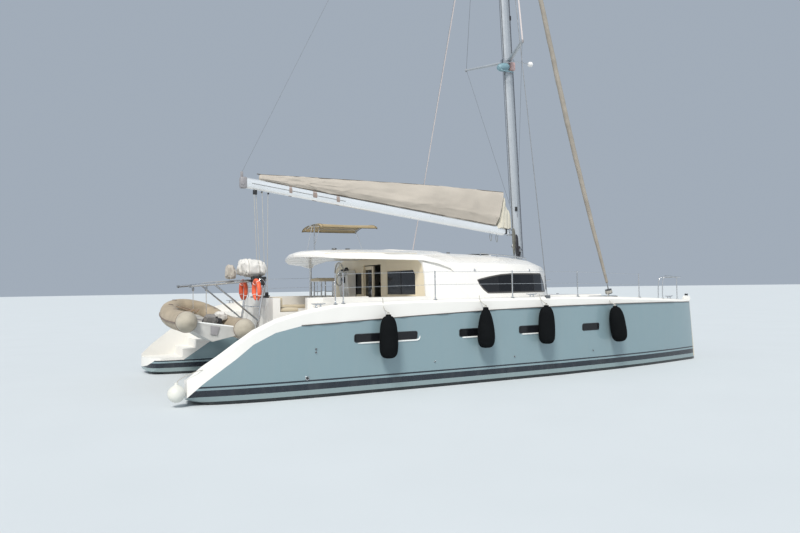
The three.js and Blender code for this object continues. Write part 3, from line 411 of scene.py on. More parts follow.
class Shape:
    def __init__(self):
        self.points = []
        self.faces = []

    def add(self, points, faces):
        start = len(self.points)
        self.points.extend(tuple(p) for p in points)
        self.faces.extend(tuple(i + start for i in face) for face in faces)
        return self

    def take(self, made):
        made.verts.index_update()
        self.add([v.co for v in made.verts], [[v.index for v in f.verts] for f in made.faces])
        made.free()
        return self

    def rings(self, rings, closed=False, caps=True, wrap=True):
        count = len(rings[0])
        faces = []
        for i in range(len(rings) if closed else len(rings) - 1):
            a, b = i * count, ((i + 1) % len(rings)) * count
            for k in range(count if wrap else count - 1):
                n = (k + 1) % count
                faces.append((a + k, a + n, b + n, b + k))
        if caps and not closed:
            faces.append(tuple(range(count)))
            faces.append(tuple(range((len(rings) - 1) * count, len(rings) * count)))
        return self.add([p for ring in rings for p in ring], faces)

    def tube(self, path, radius, sides=8, closed=False, flat=1.0):
        path = [Vector(p) for p in path]
        radii = radius if isinstance(radius, list) else [radius] * len(path)
        across = heading(path, 0, closed).orthogonal().normalized()
        rings = []
        for i, place in enumerate(path):
            ahead = heading(path, i, closed)
            across = (across - ahead * across.dot(ahead)).normalized()
            rings.append(ring_round(place, across, ahead.cross(across), radii[i], sides, flat))
        return self.rings(rings, closed)

    # The profile holds pairs of a radius and a height along the axis.
    def lathe(self, profile, place, axis=(0, 0, 1), sides=24):
        axis = Vector(axis).normalized()
        across = axis.orthogonal().normalized()
        other = axis.cross(across)
        rings = [ring_round(Vector(place) + axis * height, across, other, max(radius, 0.0004), sides)
                 for radius, height in profile]
        return self.rings(rings)

    def block(self, low, high, edge=0.004, turn=None, about=None):
        made = bmesh.new()
        bmesh.ops.create_cube(made, size=1)
        for v in made.verts:
            v.co = [low[i] + (v.co[i] + 0.5) * (high[i] - low[i]) for i in range(3)]
        bmesh.ops.bevel(made, geom=list(made.edges), offset=edge, segments=2, affect="EDGES", profile=0.5)
        if turn is not None:
            bmesh.ops.rotate(made, verts=list(made.verts), cent=about, matrix=turn)
        return self.take(made)

    # Without a body the piece rides on nothing yet.
    def piece(self, name, material, body="hull", slot=None, angle=38):
        mesh = bpy.data.meshes.new(name)
        mesh.from_pydata(self.points, [], self.faces)
        made = bmesh.new()
        made.from_mesh(mesh)
        bmesh.ops.recalc_face_normals(made, faces=list(made.faces))
        made.to_mesh(mesh)
        made.free()
        mesh.shade_smooth()
        mesh.set_sharp_from_angle(angle=math.radians(angle))
        mesh.materials.append(MATERIALS[material])
        thing = add_object(name, mesh)
        if body:
            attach(thing, body)
        return thing

    def soft_piece(self, name, material, fill, body="hull", angle=60):
        thing = self.piece(name, material, body, angle=angle)
        return thing


def apply_modifier(thing):
    ready = thing.evaluated_get(bpy.context.evaluated_depsgraph_get())
    mesh = bpy.data.meshes.new_from_object(ready)
    thing.modifiers.clear()
    thing.data = mesh


# Mouldings whose flat facets stand for curves: a copy of each solid is shaded
# as one smooth surface, up to an angle.
MOULDINGS = [
    ("cabin hardtop", "gelcoat", 34),
    ("deck_stbd deck_port", "deck", 34),
    ("hull_stbd hull_port", "topsides", 34),
    ("keel_stbd keel_port", "antifouling", 30),
    ("mast", "mast", 40),
    ("boom", "boom", 40),
]


def mouldings():
    for nodes, material, angle in MOULDINGS:
        for node in nodes.split():
            made = bmesh.new()
            made.from_mesh(NODES[node].data)
            bmesh.ops.remove_doubles(made, verts=list(made.verts), dist=0.0002)
            bmesh.ops.dissolve_limit(made, angle_limit=math.radians(0.4), verts=list(made.verts),
                                     edges=list(made.edges))
            bmesh.ops.triangulate(made, faces=[f for f in made.faces if len(f.verts) > 4])
            body = "boom" if node == "boom" else "hull"
            copy = Shape().take(made).piece(f"{node}_skin", material, body, angle=angle)
            copy.modifiers.new("even", "WEIGHTED_NORMAL").keep_sharp = True
            apply_modifier(copy)
            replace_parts(copy, node)


# White lining on the inner wall of each hull, where it shows in the cockpit and the saloon:
# the ends and the top of each.
PANELS = [(-4.675, -4.635, 1.225), (-4.635, -3.96, 1.44), (-3.96, -1.6, 1.72), (-1.5, 2.0, 1.72)]


def inner_panels():
    for side, tag in SIDES:
        near, far = sorted((side * 1.846, side * 1.8505))
        shape = Shape()
        for x0, x1, top in PANELS:
            shape.block((x0, near, 1.103), (x1, far, top), 0.0015)
        shape.piece(f"inner_panels_{tag}", "gelcoat")


# Hull

HULL_Y = 2.59
# The upper edge of the topsides, by its distance forward.
TOP_EDGE = [(-4.68, 1.355), (-4.0, 1.382), (-2.5, 1.45), (-0.5, 1.52), (1.5, 1.555), (3.0, 1.56),
            (4.2, 1.555), (5.2, 1.545), (6.0, 1.53), (6.42, 1.521)]
# Middle, height, length and whether a drip lip runs below it.
PORTLIGHTS = [(-2.99, 1.072, 1.34, True), (-0.97, 1.072, 0.68, True), (0.56, 1.072, 0.68, True),
              (2.3, 1.052, 0.51, False)]
PORTLIGHT_HEIGHT = 0.135
# Place, height and radius of each skin fitting.
SKIN_FITTINGS = [(-4.44, 0.91, 0.022), (-4.44, 0.85, 0.022), (-4.6, 0.38, 0.045), (-1.9, 0.52, 0.02),
                 (0.1, 0.5, 0.02), (2.4, 0.5, 0.02)]
# The forward end and the height of each tread of the stern steps.
STEP_TREADS = [(-5.87, 0.4), (-5.56, 0.61), (-5.26, 0.82), (-4.95, 1.03), (-4.64, 1.24), (0, 1.45)]
STANCHIONS = (-4.03, -3.87, -1.855, 0.08, 1.942, 4.035)


def height_at(table, x):
    for (x0, z0), (x1, z1) in zip(table, table[1:]):
        if x <= x1:
            return z0 + (z1 - z0) * (x - x0) / (x1 - x0)
    return table[-1][1]


def hull_skin(side, tag, x, z, out=0.0):
    place = touch(f"hull_{tag} deck_{tag}", (x, side * 6, z), (0, -side, 0))
    place.y += side * out
    return place


# The hull's side just above its upper edge.
def deck_edge(side, tag, x, above=0.05):
    return hull_skin(side, tag, x, height_at(TOP_EDGE, x) + above)


def portlights():
    for side, tag in SIDES:
        frames, panes, lips = Shape(), Shape(), Shape()
        for middle, z, length, lipped in PORTLIGHTS:
            def ring(size, out):
                loop = rounded_loop(length + size, PORTLIGHT_HEIGHT + size, 0.03 + size / 2)
                return [hull_skin(side, tag, middle + u, z + w + u * 0.004, out) for u, w in loop]
            frames.rings([ring(s, o) for s, o in ((0.034, -0.002), (0.032, 0.004), (0.026, 0.007),
                                                  (0.012, 0.007), (0.004, 0.005), (0.0, 0.001))], caps=False)
            panes.rings([ring(s, 0.003) for s in (0.004, -0.02, -0.04, -0.056)])
            if lipped:
                low = z - PORTLIGHT_HEIGHT / 2 - 0.03
                start, end = middle - length / 2 + 0.06, middle + length / 2
                path = [hull_skin(side, tag, start + k / 14 * (length - 0.08), low) for k in range(15)]
                path += [hull_skin(side, tag, end + dx, low + dz)
                         for dx, dz in ((0.02, 0.004), (0.05, 0.018), (0.068, 0.045), (0.072, 0.085))]
                lips.tube(path, [0.004] + [0.017] * (len(path) - 3) + [0.012, 0.004])
        frames.piece(f"portlight_frames_{tag}", "black")
        panes.piece(f"portlight_panes_{tag}", "glass")
        lips.piece(f"portlight_lips_{tag}", "lip")


def hull_fittings():
    for side, tag in SIDES:
        xs = [-4.72 + k * 0.14 for k in range(80)]
        strip = [hull_skin(side, tag, x, height_at(TOP_EDGE, x), 0.001) for x in xs]
        Shape().tube(strip, 0.0095).piece(f"joint_strip_{tag}", "rubber")
        collars, hole_shade = Shape(), Shape()
        for x, z, r in SKIN_FITTINGS:
            place = hull_skin(side, tag, x, z)
            collar = [(0.62, -0.01), (0.62, 0.014), (0.8, 0.016), (1, 0.006), (1.05, -0.01)]
            collars.lathe([(r * share, high) for share, high in collar], place, (0, side, 0), 20)
            # Painted shade: black discs fill the fittings' openings, where their insides would lie in shade.
            hole_shade.lathe([(0, 0.002), (r * 0.6, 0.002), (r * 0.6, -0.008)], place, (0, side, 0), 16)
        collars.piece(f"skin_fittings_{tag}", "steel")
        hole_shade.piece(f"skin_fitting_hole_shade_{tag}", "black")


# White moulding below the stern steps, along the inner side of each hull.
def stern_skirts():
    aft, slope = -5.855, 0.683
    for side, tag in SIDES:
        rows = []
        for x in (aft + k * 0.02 for k in range(61)):
            tread = next(z for end, z in STEP_TREADS if x - 0.015 < end)
            low = 0.338 + (x - aft) * slope
            high = max(low + 0.004, tread - 0.052)
            row = []
            for z, out in ((low, -0.002), (low, 0.004), (low + 0.5 * (high - low), 0.004), (high, 0.004),
                           (high, -0.002)):
                place = touch(f"hull_{tag} deck_{tag}", (x, side * 0.4, z), (0, side, 0))
                place.y -= side * out
                row.append(place)
            rows.append(row)
        Shape().rings(rows).piece(f"stern_skirt_{tag}", "gelcoat")


def cleats():
    for side, tag in SIDES:
        shape = Shape()
        for x in (-4.36, 0.62, 5.35):
            y = deck_edge(side, tag, x).y - side * 0.085
            z = down(f"deck_{tag}", x, y)
            for dx in (-0.045, 0.045):
                shape.lathe([(0.03, -0.004), (0.03, 0.006), (0.016, 0.01), (0.013, 0.045), (0.016, 0.058)],
                            (x + dx, y, z), sides=16)
            horn = [(x + dx, y, z + up) for dx, up in ((-0.14, 0.068), (-0.09, 0.06), (-0.04, 0.056),
                                                       (0.04, 0.056), (0.09, 0.06), (0.14, 0.068))]
            shape.tube(horn, [0.008, 0.012, 0.015, 0.015, 0.012, 0.008], 12)
        shape.piece(f"cleats_{tag}", "steel")


def stanchion_ends(tag):
    bases, caps = Shape(), Shape()
    for x in STANCHIONS:
        post = [v.co for v in NODES[f"guard_rail_{tag}"].data.vertices if abs(v.co.x - x) < 0.02]
        foot = min(p.z for p in post)
        lowest = [p.y for p in post if p.z < foot + 0.02]
        y = sum(lowest) / len(lowest)
        z = down(f"deck_{tag}", x, y, foot + 0.3)
        bases.lathe([(0.042, -0.003), (0.042, 0.006), (0.036, 0.01), (0.017, 0.014), (0.0165, 0.05),
                     (0.0125, 0.053)], (x, y, z), sides=20)
        caps.lathe([(0.013, -0.03), (0.0135, -0.004), (0.012, 0.004), (0.006, 0.009), (0, 0.01)],
                   (x, y, max(p.z for p in post)), sides=14)
    bases.piece(f"stanchion_bases_{tag}", "steel")
    caps.piece(f"stanchion_caps_{tag}", "steel")


# A metal frame round the glass of a lid, with two round locks.
def hatch_rim(piece, node, x0, x1, y, half):
    middle = (x0 + x1) / 2
    z = down(node, middle, y)
    length, width = x1 - x0, 2 * half
    loop = rounded_loop(length, width, 0.05)
    rings = [[(middle + u * (1 + size / length), y + w * (1 + size / width), z + out) for u, w in loop]
             for size, out in ((0.028, -0.001), (0.028, 0.006), (0.02, 0.009), (-0.02, 0.009),
                               (-0.026, 0.006), (-0.026, -0.001))]
    rim = Shape().rings(rings, caps=False)
    lock = [(0.024, 0.0), (0.024, 0.008), (0.018, 0.012), (0, 0.013)]
    for dy in (-half * 0.55, half * 0.55):
        rim.lathe(lock, (x0 + 0.07, y + dy, z), sides=18)
    rim.piece(piece, "alloy", node)


def engine_lid_handle(y, tag):
    x, z = -4.52, down(f"engine_lid_{tag}", -4.5, y)
    path = [(x, y + dy, z + up) for dy, up in ((-0.06, 0), (-0.055, 0.028), (0.055, 0.028), (0.06, 0))]
    handle = Shape().tube(smooth_path(path, 5), 0.006, 10)
    handle.piece(f"engine_lid_handle_{tag}", "steel", f"engine_lid_{tag}")


def stem_guard(y, tag):
    rings = []
    for z in (0.08 + k * 0.0483 for k in range(31)):
        x = touch(f"hull_{tag} deck_{tag}", (8, y, z), AFT).x
        rings.append([(x + dx, y + dy, z) for dx, dy in (
            (-0.1, -0.03), (-0.03, -0.032), (0.006, -0.024), (0.016, 0.0), (0.006, 0.024), (-0.03, 0.032),
            (-0.1, 0.03))])
    Shape().rings(rings).piece(f"stem_guard_{tag}", "beige")


def pulpit(side, tag):
    feet = []
    for x in (5.0, 5.75):
        y = deck_edge(side, tag, x).y - side * 0.06
        feet.append(Vector((x, y, down(f"deck_{tag}", x, y))))
    aft, fore = feet
    inner = Vector((fore.x, 2 * side * HULL_Y - fore.y, fore.z))
    rail = [foot + Vector((dx, 0, up)) for foot, dx, up in (
        (aft, 0, 0), (aft, 0.02, 0.42), (aft, 0.12, 0.56), (fore, -0.1, 0.58), (fore, 0.12, 0.57),
        (inner, 0.12, 0.57), (inner, -0.05, 0.56), (inner, -0.12, 0.4), (inner, -0.14, 0))]
    shape = Shape().tube(smooth_path(rail, 7), 0.0125, 10)
    shape.tube([fore, fore + UP * 0.575], 0.0125, 10)
    for p in (aft, fore, rail[-1]):
        shape.lathe([(0.036, -0.003), (0.036, 0.006), (0.018, 0.01), (0.014, 0.03)], p, sides=18)
    shape.piece(f"pulpit_{tag}", "steel")


def bow_roller(y, tag):
    x = 6.39
    profile = [(0.022, -0.035), (0.03, -0.03), (0.018, -0.012), (0.018, 0.012), (0.03, 0.03), (0.022, 0.035)]
    place = (x, y, down(f"deck_{tag}", x, y) + 0.028)
    Shape().lathe(profile, place, (0, 1, 0), 18).piece(f"bow_roller_{tag}", "black")


def deck_fittings():
    for side, tag in SIDES:
        y = side * HULL_Y
        stanchion_ends(tag)
        hatch_rim(f"deck_hatch_rim_{tag}", f"deck_hatch_{tag}", 3.17, 3.63, y, 0.23)
        engine_lid_handle(y, tag)
        stem_guard(y, tag)
        pulpit(side, tag)
        bow_roller(y, tag)


# Cabin

SIDE_WINDOW = [(-0.281, 2.163), (0.063, 2.229), (0.361, 2.273), (0.753, 2.298), (1.88, 2.302), (2.13, 2.08),
               (2.23, 1.878), (-0.02, 1.878), (-0.134, 1.96), (-0.234, 2.073)]
FRONT_WINDOW = [(0.09, 1.93), (1.45, 1.93), (1.33, 2.26), (0.09, 2.26)]
AFT_WINDOW = [(-2.13, 1.85), (-0.72, 1.85), (-0.72, 2.42), (-2.02, 2.42), (-2.13, 2.3)]


def window_seal(shape, window, surface, out):
    loop = divided(window, 0.08)
    return shape.rings([[surface(a, b) + Vector(out) * lift for a, b in grow(loop, size)] for size, lift in (
        (0.02, -0.001), (0.018, 0.005), (0.011, 0.008), (-0.004, 0.007), (-0.012, 0.001))], caps=False)


def windows(side, tag):
    def on_side(x, z):
        return touch(f"cabin side_window_{tag}", (x, side * 5, z), (0, -side, 0))

    def on_front(y, z):
        return touch(f"cabin front_window_{tag}", (8, side * y, z), AFT)

    def on_aft(y, z):
        return touch(f"bulkhead aft_window_{tag}", (-4, -side * y, z), (1, 0, 0))

    seals = window_seal(Shape(), SIDE_WINDOW, on_side, (0, side, 0))
    window_seal(seals, FRONT_WINDOW, on_front, (1, 0, 0)).piece(f"window_seals_{tag}", "rubber")
    seams = Shape()
    for x in (0.78, 1.52):
        seam = [on_side(x, z) + Vector((0, side * 0.001, 0)) for z in (1.885, 1.95, 2.05, 2.15, 2.22, 2.292)]
        seams.tube(seam, 0.006, 6)
    seams.tube([on_front(0.72, z) + Vector((0.001, 0, 0)) for z in (1.94, 2.0, 2.1, 2.2, 2.25)], 0.006, 6)
    seams.piece(f"window_seams_{tag}", "black")
    window_seal(Shape(), AFT_WINDOW, on_aft, AFT).piece(f"aft_window_trim_{tag}", "cream")
    bar = [on_aft(-1.42, z) for z in (1.86, 2.0, 2.2, 2.41)]
    Shape().tube(bar, 0.011, 6).piece(f"aft_window_bar_{tag}", "black")


def roof_rail(side, tag):
    rail = Shape()
    path = []
    for x in (0.35 + k * 0.12 for k in range(13)):
        y = side * (1.75 - 0.12 * max(0.0, x - 0.9))
        path.append(Vector((x, y, down("cabin", x, y) + 0.062)))
    for top in path[::4]:
        foot = top - UP * 0.066
        rail.tube([foot, top], [0.015, 0.01], 10)
        rail.lathe([(0.026, 0), (0.026, 0.005), (0.012, 0.009)], foot, sides=14)
    rail.tube(path, 0.0125, 10).piece(f"roof_rail_{tag}", "steel")


def cabin_fittings():
    for side, tag in SIDES:
        windows(side, tag)
        roof_rail(side, tag)
    eyes = Shape()
    for side, _ in SIDES:
        for x in (-0.34, 1.39):
            place = touch("cabin", (x, side * 5, 2.39), (0, -side, 0))
            eyes.lathe([(0.028, -0.012), (0.028, 0.006), (0.02, 0.012), (0, 0.013)], place,
                       (0, side, 0.4), 16)
            bow = [place + Vector((dx, side * out, up)) for dx, out, up in (
                (-0.02, 0.01, 0), (-0.018, 0.035, -0.004), (0.018, 0.035, -0.004), (0.02, 0.01, 0))]
            eyes.tube(smooth_path(bow, 4), 0.005)
    eyes.piece("cabin_side_eyes", "steel")


# A winch: drum with a waist, a self-tailing top and a handle socket.
WINCH_DRUM = [(0.062, 0.012), (0.052, 0.02), (0.043, 0.035), (0.041, 0.062), (0.046, 0.082), (0.055, 0.09)]
WINCH_TOP = [(0.055, 0.09), (0.059, 0.098), (0.046, 0.106), (0.058, 0.114), (0.056, 0.122), (0.022, 0.128),
             (0.02, 0.118), (0, 0.118)]


def winch(drum, top, place, size, axis=(0, 0, 1)):
    foot = [(WINCH_DRUM[0][0] * size, -0.004)]
    drum.lathe(foot + [(r * size, h * size) for r, h in WINCH_DRUM], place, axis, 28)
    top.lathe([(r * size, h * size) for r, h in WINCH_TOP], place, axis, 28)


CLUTCH_YS = [0.62 - k * 0.055 for k in range(5)]


def roof_fittings():
    hatch_rim("roof_hatch_rim", "roof_hatch", 1.17, 1.63, 0, 0.23)
    drums, tops = Shape(), Shape()
    for x, y, size in ((-2.33, 0.86, 1.15), (-1.96, 0.86, 1.15), (0.53, 0.0, 0.8), (0.33, 0.36, 0.8)):
        winch(drums, tops, (x, y, down("hardtop cabin", x, y) - 0.002), size)
    drums.piece("winch_drums", "black", slot="steel")
    tops.piece("winch_tops", "darksteel")
    clutches = Shape()
    for y in CLUTCH_YS:
        z = down("cabin", -0.2, y)
        clutches.block((-0.3, y - 0.02, z - 0.01), (-0.08, y + 0.02, z + 0.045), 0.008)
        clutches.block((-0.29, y - 0.013, z + 0.04), (-0.16, y + 0.013, z + 0.062), 0.006)
    clutches.piece("rope_clutches", "black")
    collar = ring_round(Vector((2.8, 0, 2.702)), Vector((0.165, 0, 0)), Vector((0, 0.11, 0)), 1, 36)
    Shape().tube(collar, 0.016, closed=True).piece("mast_collar", "alloy")
    lines = Shape()
    for k, start in enumerate(CLUTCH_YS):
        route = []
        for t in (i / 12 for i in range(13)):
            x = -0.08 + t * 2.6
            y = start * (1 - t) + (0.2 - k * 0.035) * t
            route.append((x, y, down("cabin roof_hatch", x, y) + 0.007))
        lines.tube(smooth_path(route, 2), 0.006, 6)
    lines.piece("deck_lines", "rope")
    moulding = Shape()
    for side, _ in SIDES:
        xs = [-3.45 + k * 0.09 for k in range(20)]
        moulding.tube([touch("hardtop", (x, side * 6, 2.756 + max(0.0, (-2.4 - x)) * 0.035), (0, -side, 0))
                       for x in xs], 0.006, 6)
    moulding.piece("hardtop_moulding", "cream")
    lamps = Shape()
    for y in (-1.6, 0.0):
        place = touch("hardtop", (-2.6, y, 2.0), UP)
        lamps.lathe([(0.05, 0.002), (0.05, -0.008), (0.04, -0.014), (0.036, -0.01), (0, -0.01)], place,
                    sides=22)
    lamps.piece("ceiling_lamps", "steel")


# Cockpit and helm

WHEEL = Vector((-1.985, 1.38, 2.395))
WHEEL_RADIUS = 0.3


def helm_fittings():
    face = touch("helm_station", (-3, 1.3, 2.3), (1, 0, 0)).x
    dials, rims = Shape(), Shape()
    for y, z in ((1.2, 2.4), (WHEEL.y, 2.42), (1.56, 2.4)):
        rims.lathe([(0.052, -0.001), (0.052, 0.008), (0.046, 0.012), (0.042, 0.008)], (face, y, z), AFT)
        dials.lathe([(0.043, 0.0), (0.043, 0.006), (0, 0.0065)], (face, y, z), AFT)
    dials.block((face - 0.012, 1.24, 2.16), (face + 0.002, 1.52, 2.32), 0.006)
    rims.piece("instrument_rims", "steel")
    dials.piece("instrument_dials", "glass")
    place = Vector((-1.78, WHEEL.y, down("helm_station", -1.8, 1.4)))
    throttle = [(-1.76, 1.65, place.z + 0.045), (-1.78, 1.65, place.z + 0.11), (-1.82, 1.65, place.z + 0.16)]
    compass = Shape().lathe([(0.075, -0.002), (0.075, 0.02), (0.062, 0.032), (0.058, 0.045)], place, sides=28)
    compass.block((-1.82, 1.62, place.z - 0.004), (-1.7, 1.68, place.z + 0.05), 0.012)
    compass.tube(smooth_path(throttle, 5), [0.008] * 10 + [0.014], 10)
    compass.piece("compass_and_throttle", "black")
    dome = Shape().lathe([(0.055, 0.044), (0.052, 0.062), (0.038, 0.082), (0.018, 0.093), (0, 0.095)], place,
                         sides=28)
    dome.piece("compass_dome", "glass")
    rim = ring_round(WHEEL, Vector((0, 1, 0)), UP, WHEEL_RADIUS, 72)
    Shape().tube(rim, 0.0155, 12, closed=True).piece("wheel_rim_cover", "leather", "wheel")
    cap = [(0.03, 0.0), (0.034, 0.012), (0.028, 0.026), (0.012, 0.03), (0, 0.031)]
    Shape().lathe(cap, WHEEL - Vector((0.015, 0, 0)), AFT).piece("wheel_hub_cap", "steel", "wheel")


# A cushion with rounded edges, a crown and soft dents.
def pad(name, low, high, fill, corner=0.035, crown=0.012):
    low, high = Vector(low), Vector(high)
    middle = (low + high) / 2
    half = (high - low) / 2
    thin = min(range(3), key=lambda i: half[i])
    cuts = min(26, max(3, int(max(high - low) / 0.05)))
    seed = noise.random_unit_vector()
    made = bmesh.new()
    bmesh.ops.create_cube(made, size=1)
    bmesh.ops.subdivide_edges(made, edges=list(made.edges), cuts=cuts, use_grid_fill=True)
    for v in made.verts:
        p = Vector([v.co[i] * 2 * half[i] for i in range(3)])
        inner = Vector([max(-half[i] + corner, min(half[i] - corner, p[i])) for i in range(3)])
        away = p - inner
        if away.length > 1e-9:
            p = inner + away.normalized() * corner
        wide, deep = (1 - (abs(p[i]) / half[i]) ** 2 for i in range(3) if i != thin)
        side = 1 if p[thin] > 0 else -1
        p[thin] += side * crown * math.sqrt(max(0, wide * deep))
        p[thin] += side * 0.0035 * noise.noise(p * 7 + seed)
        v.co = middle + p
    return Shape().take(made).soft_piece(name, "cushion", fill)


def helm_seat():
    cushion = pad("helm_seat_pad", (-2.675, 1.065, 2.225), (-2.215, 1.695, 2.288), 0.75, 0.026, 0.01)
    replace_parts(cushion, "helm_seat")
    legs = Shape()
    near, far = 1.12, 1.64
    for x in (-2.59, -2.28):
        for y in (near, far):
            z = down("helm_station cockpit", x, y, 2.0)
            legs.tube([(x, y, z), (x, y, 1.8), (x, y, 2.215)], 0.02, 14)
            legs.lathe([(0.045, 0.0), (0.045, 0.006), (0.024, 0.012)], (x, y, z), sides=20)
        legs.tube([(x, near, 1.95), (x, far, 1.95)], 0.013, 10)
    legs.piece("helm_seat_legs", "steel")
    tray = Shape().block((-2.66, 1.075, 2.206), (-2.23, 1.685, 2.226), 0.006)
    tray.block((-2.62, 1.11, 1.78), (-2.25, 1.65, 1.81), 0.01).piece("helm_seat_base", "gelcoat")


def cockpit_soft():
    bench, side = down("cockpit", -4.2, 0.0, 1.7), down("cockpit", -3.3, 1.4, 1.7)
    pad("bench_cushion_stbd", (-4.43, -1.2, bench), (-4.01, -0.02, bench + 0.08), 0.8)
    pad("bench_cushion_port", (-4.43, 0.02, bench), (-4.01, 1.13, bench + 0.08), 0.8)
    pad("side_cushion", (-3.98, 1.17, side), (-2.68, 1.7, side + 0.08), 0.8)
    pad("bench_back_stbd", (-4.435, -1.2, 1.63), (-4.37, -0.02, 1.85), 0.7, 0.026)
    pad("bench_back_port", (-4.435, 0.02, 1.63), (-4.37, 1.13, 1.85), 0.7, 0.026)
    helm_seat()
    pane = Shape().block((-1.581, 0.205, 1.355), (-1.569, 0.595, 2.475), 0.003)
    pane.piece("saloon_door_pane", "glass", "saloon_door")
    pull = [(x, 0.16, z) for x, z in ((-1.5946, 1.75), (-1.626, 1.77), (-1.626, 1.97), (-1.5946, 1.99))]
    Shape().tube(smooth_path(pull, 5), 0.008, 10).piece("saloon_door_handle", "steel", "saloon_door")


# Sunshade: taut canvas over two bows, by the sideways place and height of its arch.
ARCH = [(0.79, 3.61), (0.9, 3.655), (1.2, 3.684), (1.7, 3.676), (2.0, 3.632), (2.11, 3.59)]
SHADE_AFT, SHADE_LONG = -2.735, 1.585
SHADE_BOWS = (-2.66, -1.19)


def sunshade():
    crown = smooth_path([(0, y, z) for y, z in ARCH], 8)
    arch = [Vector((0, 0.772, 3.57)), *crown, Vector((0, 2.128, 3.552))]
    aft, fore = SHADE_BOWS
    rows = []
    for x in (SHADE_AFT + k * (SHADE_LONG / 44) for k in range(45)):
        between = max(0.0, math.sin(math.pi * (x - aft) / (fore - aft))) if aft < x < fore else 0.0
        end = max(0.0, (aft - x) / 0.075, (x - fore) / 0.04)
        rows.append([(x, p.y, p.z - 0.016 * between * (0.3 + 0.7 * math.sin(math.pi * k / 42))
                      - 0.012 * end ** 2 + 0.003 * noise.noise(Vector((x * 3, p.y * 6, 1))))
                     for k, p in enumerate(arch)])
    cover = Shape().rings(rows, caps=False, wrap=False).piece("sunshade_cloth", "sunshade", angle=60)
    thick = cover.modifiers.new("thick", "SOLIDIFY")
    thick.thickness = 0.003
    thick.offset = 0
    apply_modifier(cover)
    hem = Shape()
    for row in (rows[0], rows[-1]):
        hem.tube([(x, y, z - 0.004) for x, y, z in row], 0.008)
    for k in (0, -1):
        hem.tube([row[k] for row in rows], 0.007)
    for x in SHADE_BOWS:
        hem.tube([(x, p.y, p.z + 0.003) for p in arch], 0.006, 6)
    edge = hem.piece("sunshade_hem", "sunshade_dark")
    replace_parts(cover, "sunshade")


# Rig

HEAD_X, HEAD_Z = 2.14, 18.62
BOOM_HALF = 0.125


def mast_x(z):
    return 2.8 - 0.65 * (z - 2.69) / 15.91


def boom_top(x):
    return 3.495 + 0.97 * (2.48 - x) / 7.405 + BOOM_HALF


# The sail cover's half width, height and forward lean, by its place along the boom.
COVER = [(-4.48, 0.06, 0.13, 0), (-2.6, 0.13, 0.385, 0), (-0.3, 0.165, 0.69, 0), (1.2, 0.178, 0.85, 0.12),
         (2.01, 0.17, 0.925, 0.36)]
COVER_AFT, COVER_LONG = -4.48, 6.49
# Half of an upright section of it, in shares of its half width and its height.
COVER_RING = [(-0.46, -0.03), (-0.62, 0.03), (-0.9, 0.17), (-1.0, 0.235), (-0.97, 0.3), (-0.88, 0.44),
              (-0.76, 0.6), (-0.55, 0.79), (-0.3, 0.93), (-0.1, 0.985)]


def cover_values(x):
    for a, b in zip(COVER, COVER[1:]):
        if x <= b[0]:
            t = (x - a[0]) / (b[0] - a[0])
            return [a[i] + (b[i] - a[i]) * t for i in (1, 2, 3)]
    return list(COVER[-1][1:])


# One upright section of the sail cover, seen along the boom.
def cover_section(x):
    half, tall, lean = cover_values(x)
    low = boom_top(x)
    ring = COVER_RING + [(-y, z) for y, z in reversed(COVER_RING)]
    middle = Vector((0, 0, low + tall * 0.42))
    share = min(1.0, (x - COVER_AFT) / 0.8)
    aft = max(0.0, min(1.0, (-2.2 - x) / 1.2))
    out = []
    for p in smooth_path([(0, y * half, low + z * tall) for y, z in ring], 3, closed=True):
        away = p - middle
        up = (p.z - low) / tall
        port = 1 if p.y > 0 else 0
        wave = 0.016 * noise.noise(Vector((x * 0.9, p.y * 5 + 3 * port, up * 3.2)))
        wave += 0.009 * noise.noise(Vector((x * 2.6 + up * 1.5, up * 7.0, 4 + 2 * port)))
        wave += 0.005 * noise.noise(Vector((x * 7.0, up * 16.0, 9 + 2 * port)))
        wave -= 0.011 * max(0.0, math.sin(x * 5.2 + up * 1.2)) ** 8 * (1 if 0.2 < up < 0.9 else 0)
        crease = 1 - abs(noise.noise(Vector((x * 1.3 + up, up * 3.4 - x * 0.5, 6 + 2 * port))))
        wave += (0.012 + 0.02 * aft) * (crease ** 6 - 0.4)
        p += away.normalized() * wave * share
        p.z = max(p.z, low - 0.03)
        out.append(Vector((x + lean * (p.z - low), p.y, p.z)))
    return out


def sail_cover():
    stations = [COVER_AFT + k * (COVER_LONG / 130) for k in range(131)]
    rings = [cover_section(x) for x in stations]

    def shrunk(ring, by, shift):
        middle = sum(ring, Vector()) / len(ring)
        return [middle + (p - middle) * by + Vector((shift, 0, 0)) for p in ring]
    aft = [shrunk(rings[0], s, d) for s, d in ((0.15, -0.035), (0.6, -0.028), (0.9, -0.012))]
    fore = [shrunk(rings[-1], s, d) for s, d in ((0.95, 0.006), (0.82, -0.004), (0.6, -0.05), (0.2, -0.09))]
    cover = Shape().rings(aft + rings + fore).soft_piece("sail_cover_cloth", "canvas", 0.4, "boom", 50)
    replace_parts(cover, "sail_cover")
    ridge = []
    for x in stations[1:]:
        _, tall, lean = cover_values(x)
        rise = tall * 0.985 + 0.004 * noise.noise(Vector((x * 1.7, 0, 0)))
        ridge.append((x + lean * rise, 0, boom_top(x) + rise))
    ridge.insert(0, (-4.56, 0, ridge[0][2] + 0.012))
    Shape().tube(ridge, 0.011).piece("sail_cover_zip", "dark_canvas_and_shadow", "boom")
    # Painted shadow: dark tubes along the cover's lower edges stand for the shaded gap where the cover meets
    # the boom.
    hem = Shape()
    for side, _ in SIDES:
        edge = [(x, side * (0.46 * cover_values(x)[0] + 0.004), boom_top(x) - 0.012) for x in stations[2:]]
        hem.tube(edge, 0.012)
    hem.piece("sail_cover_shadow_hem", "dark_canvas_and_shadow", "boom")


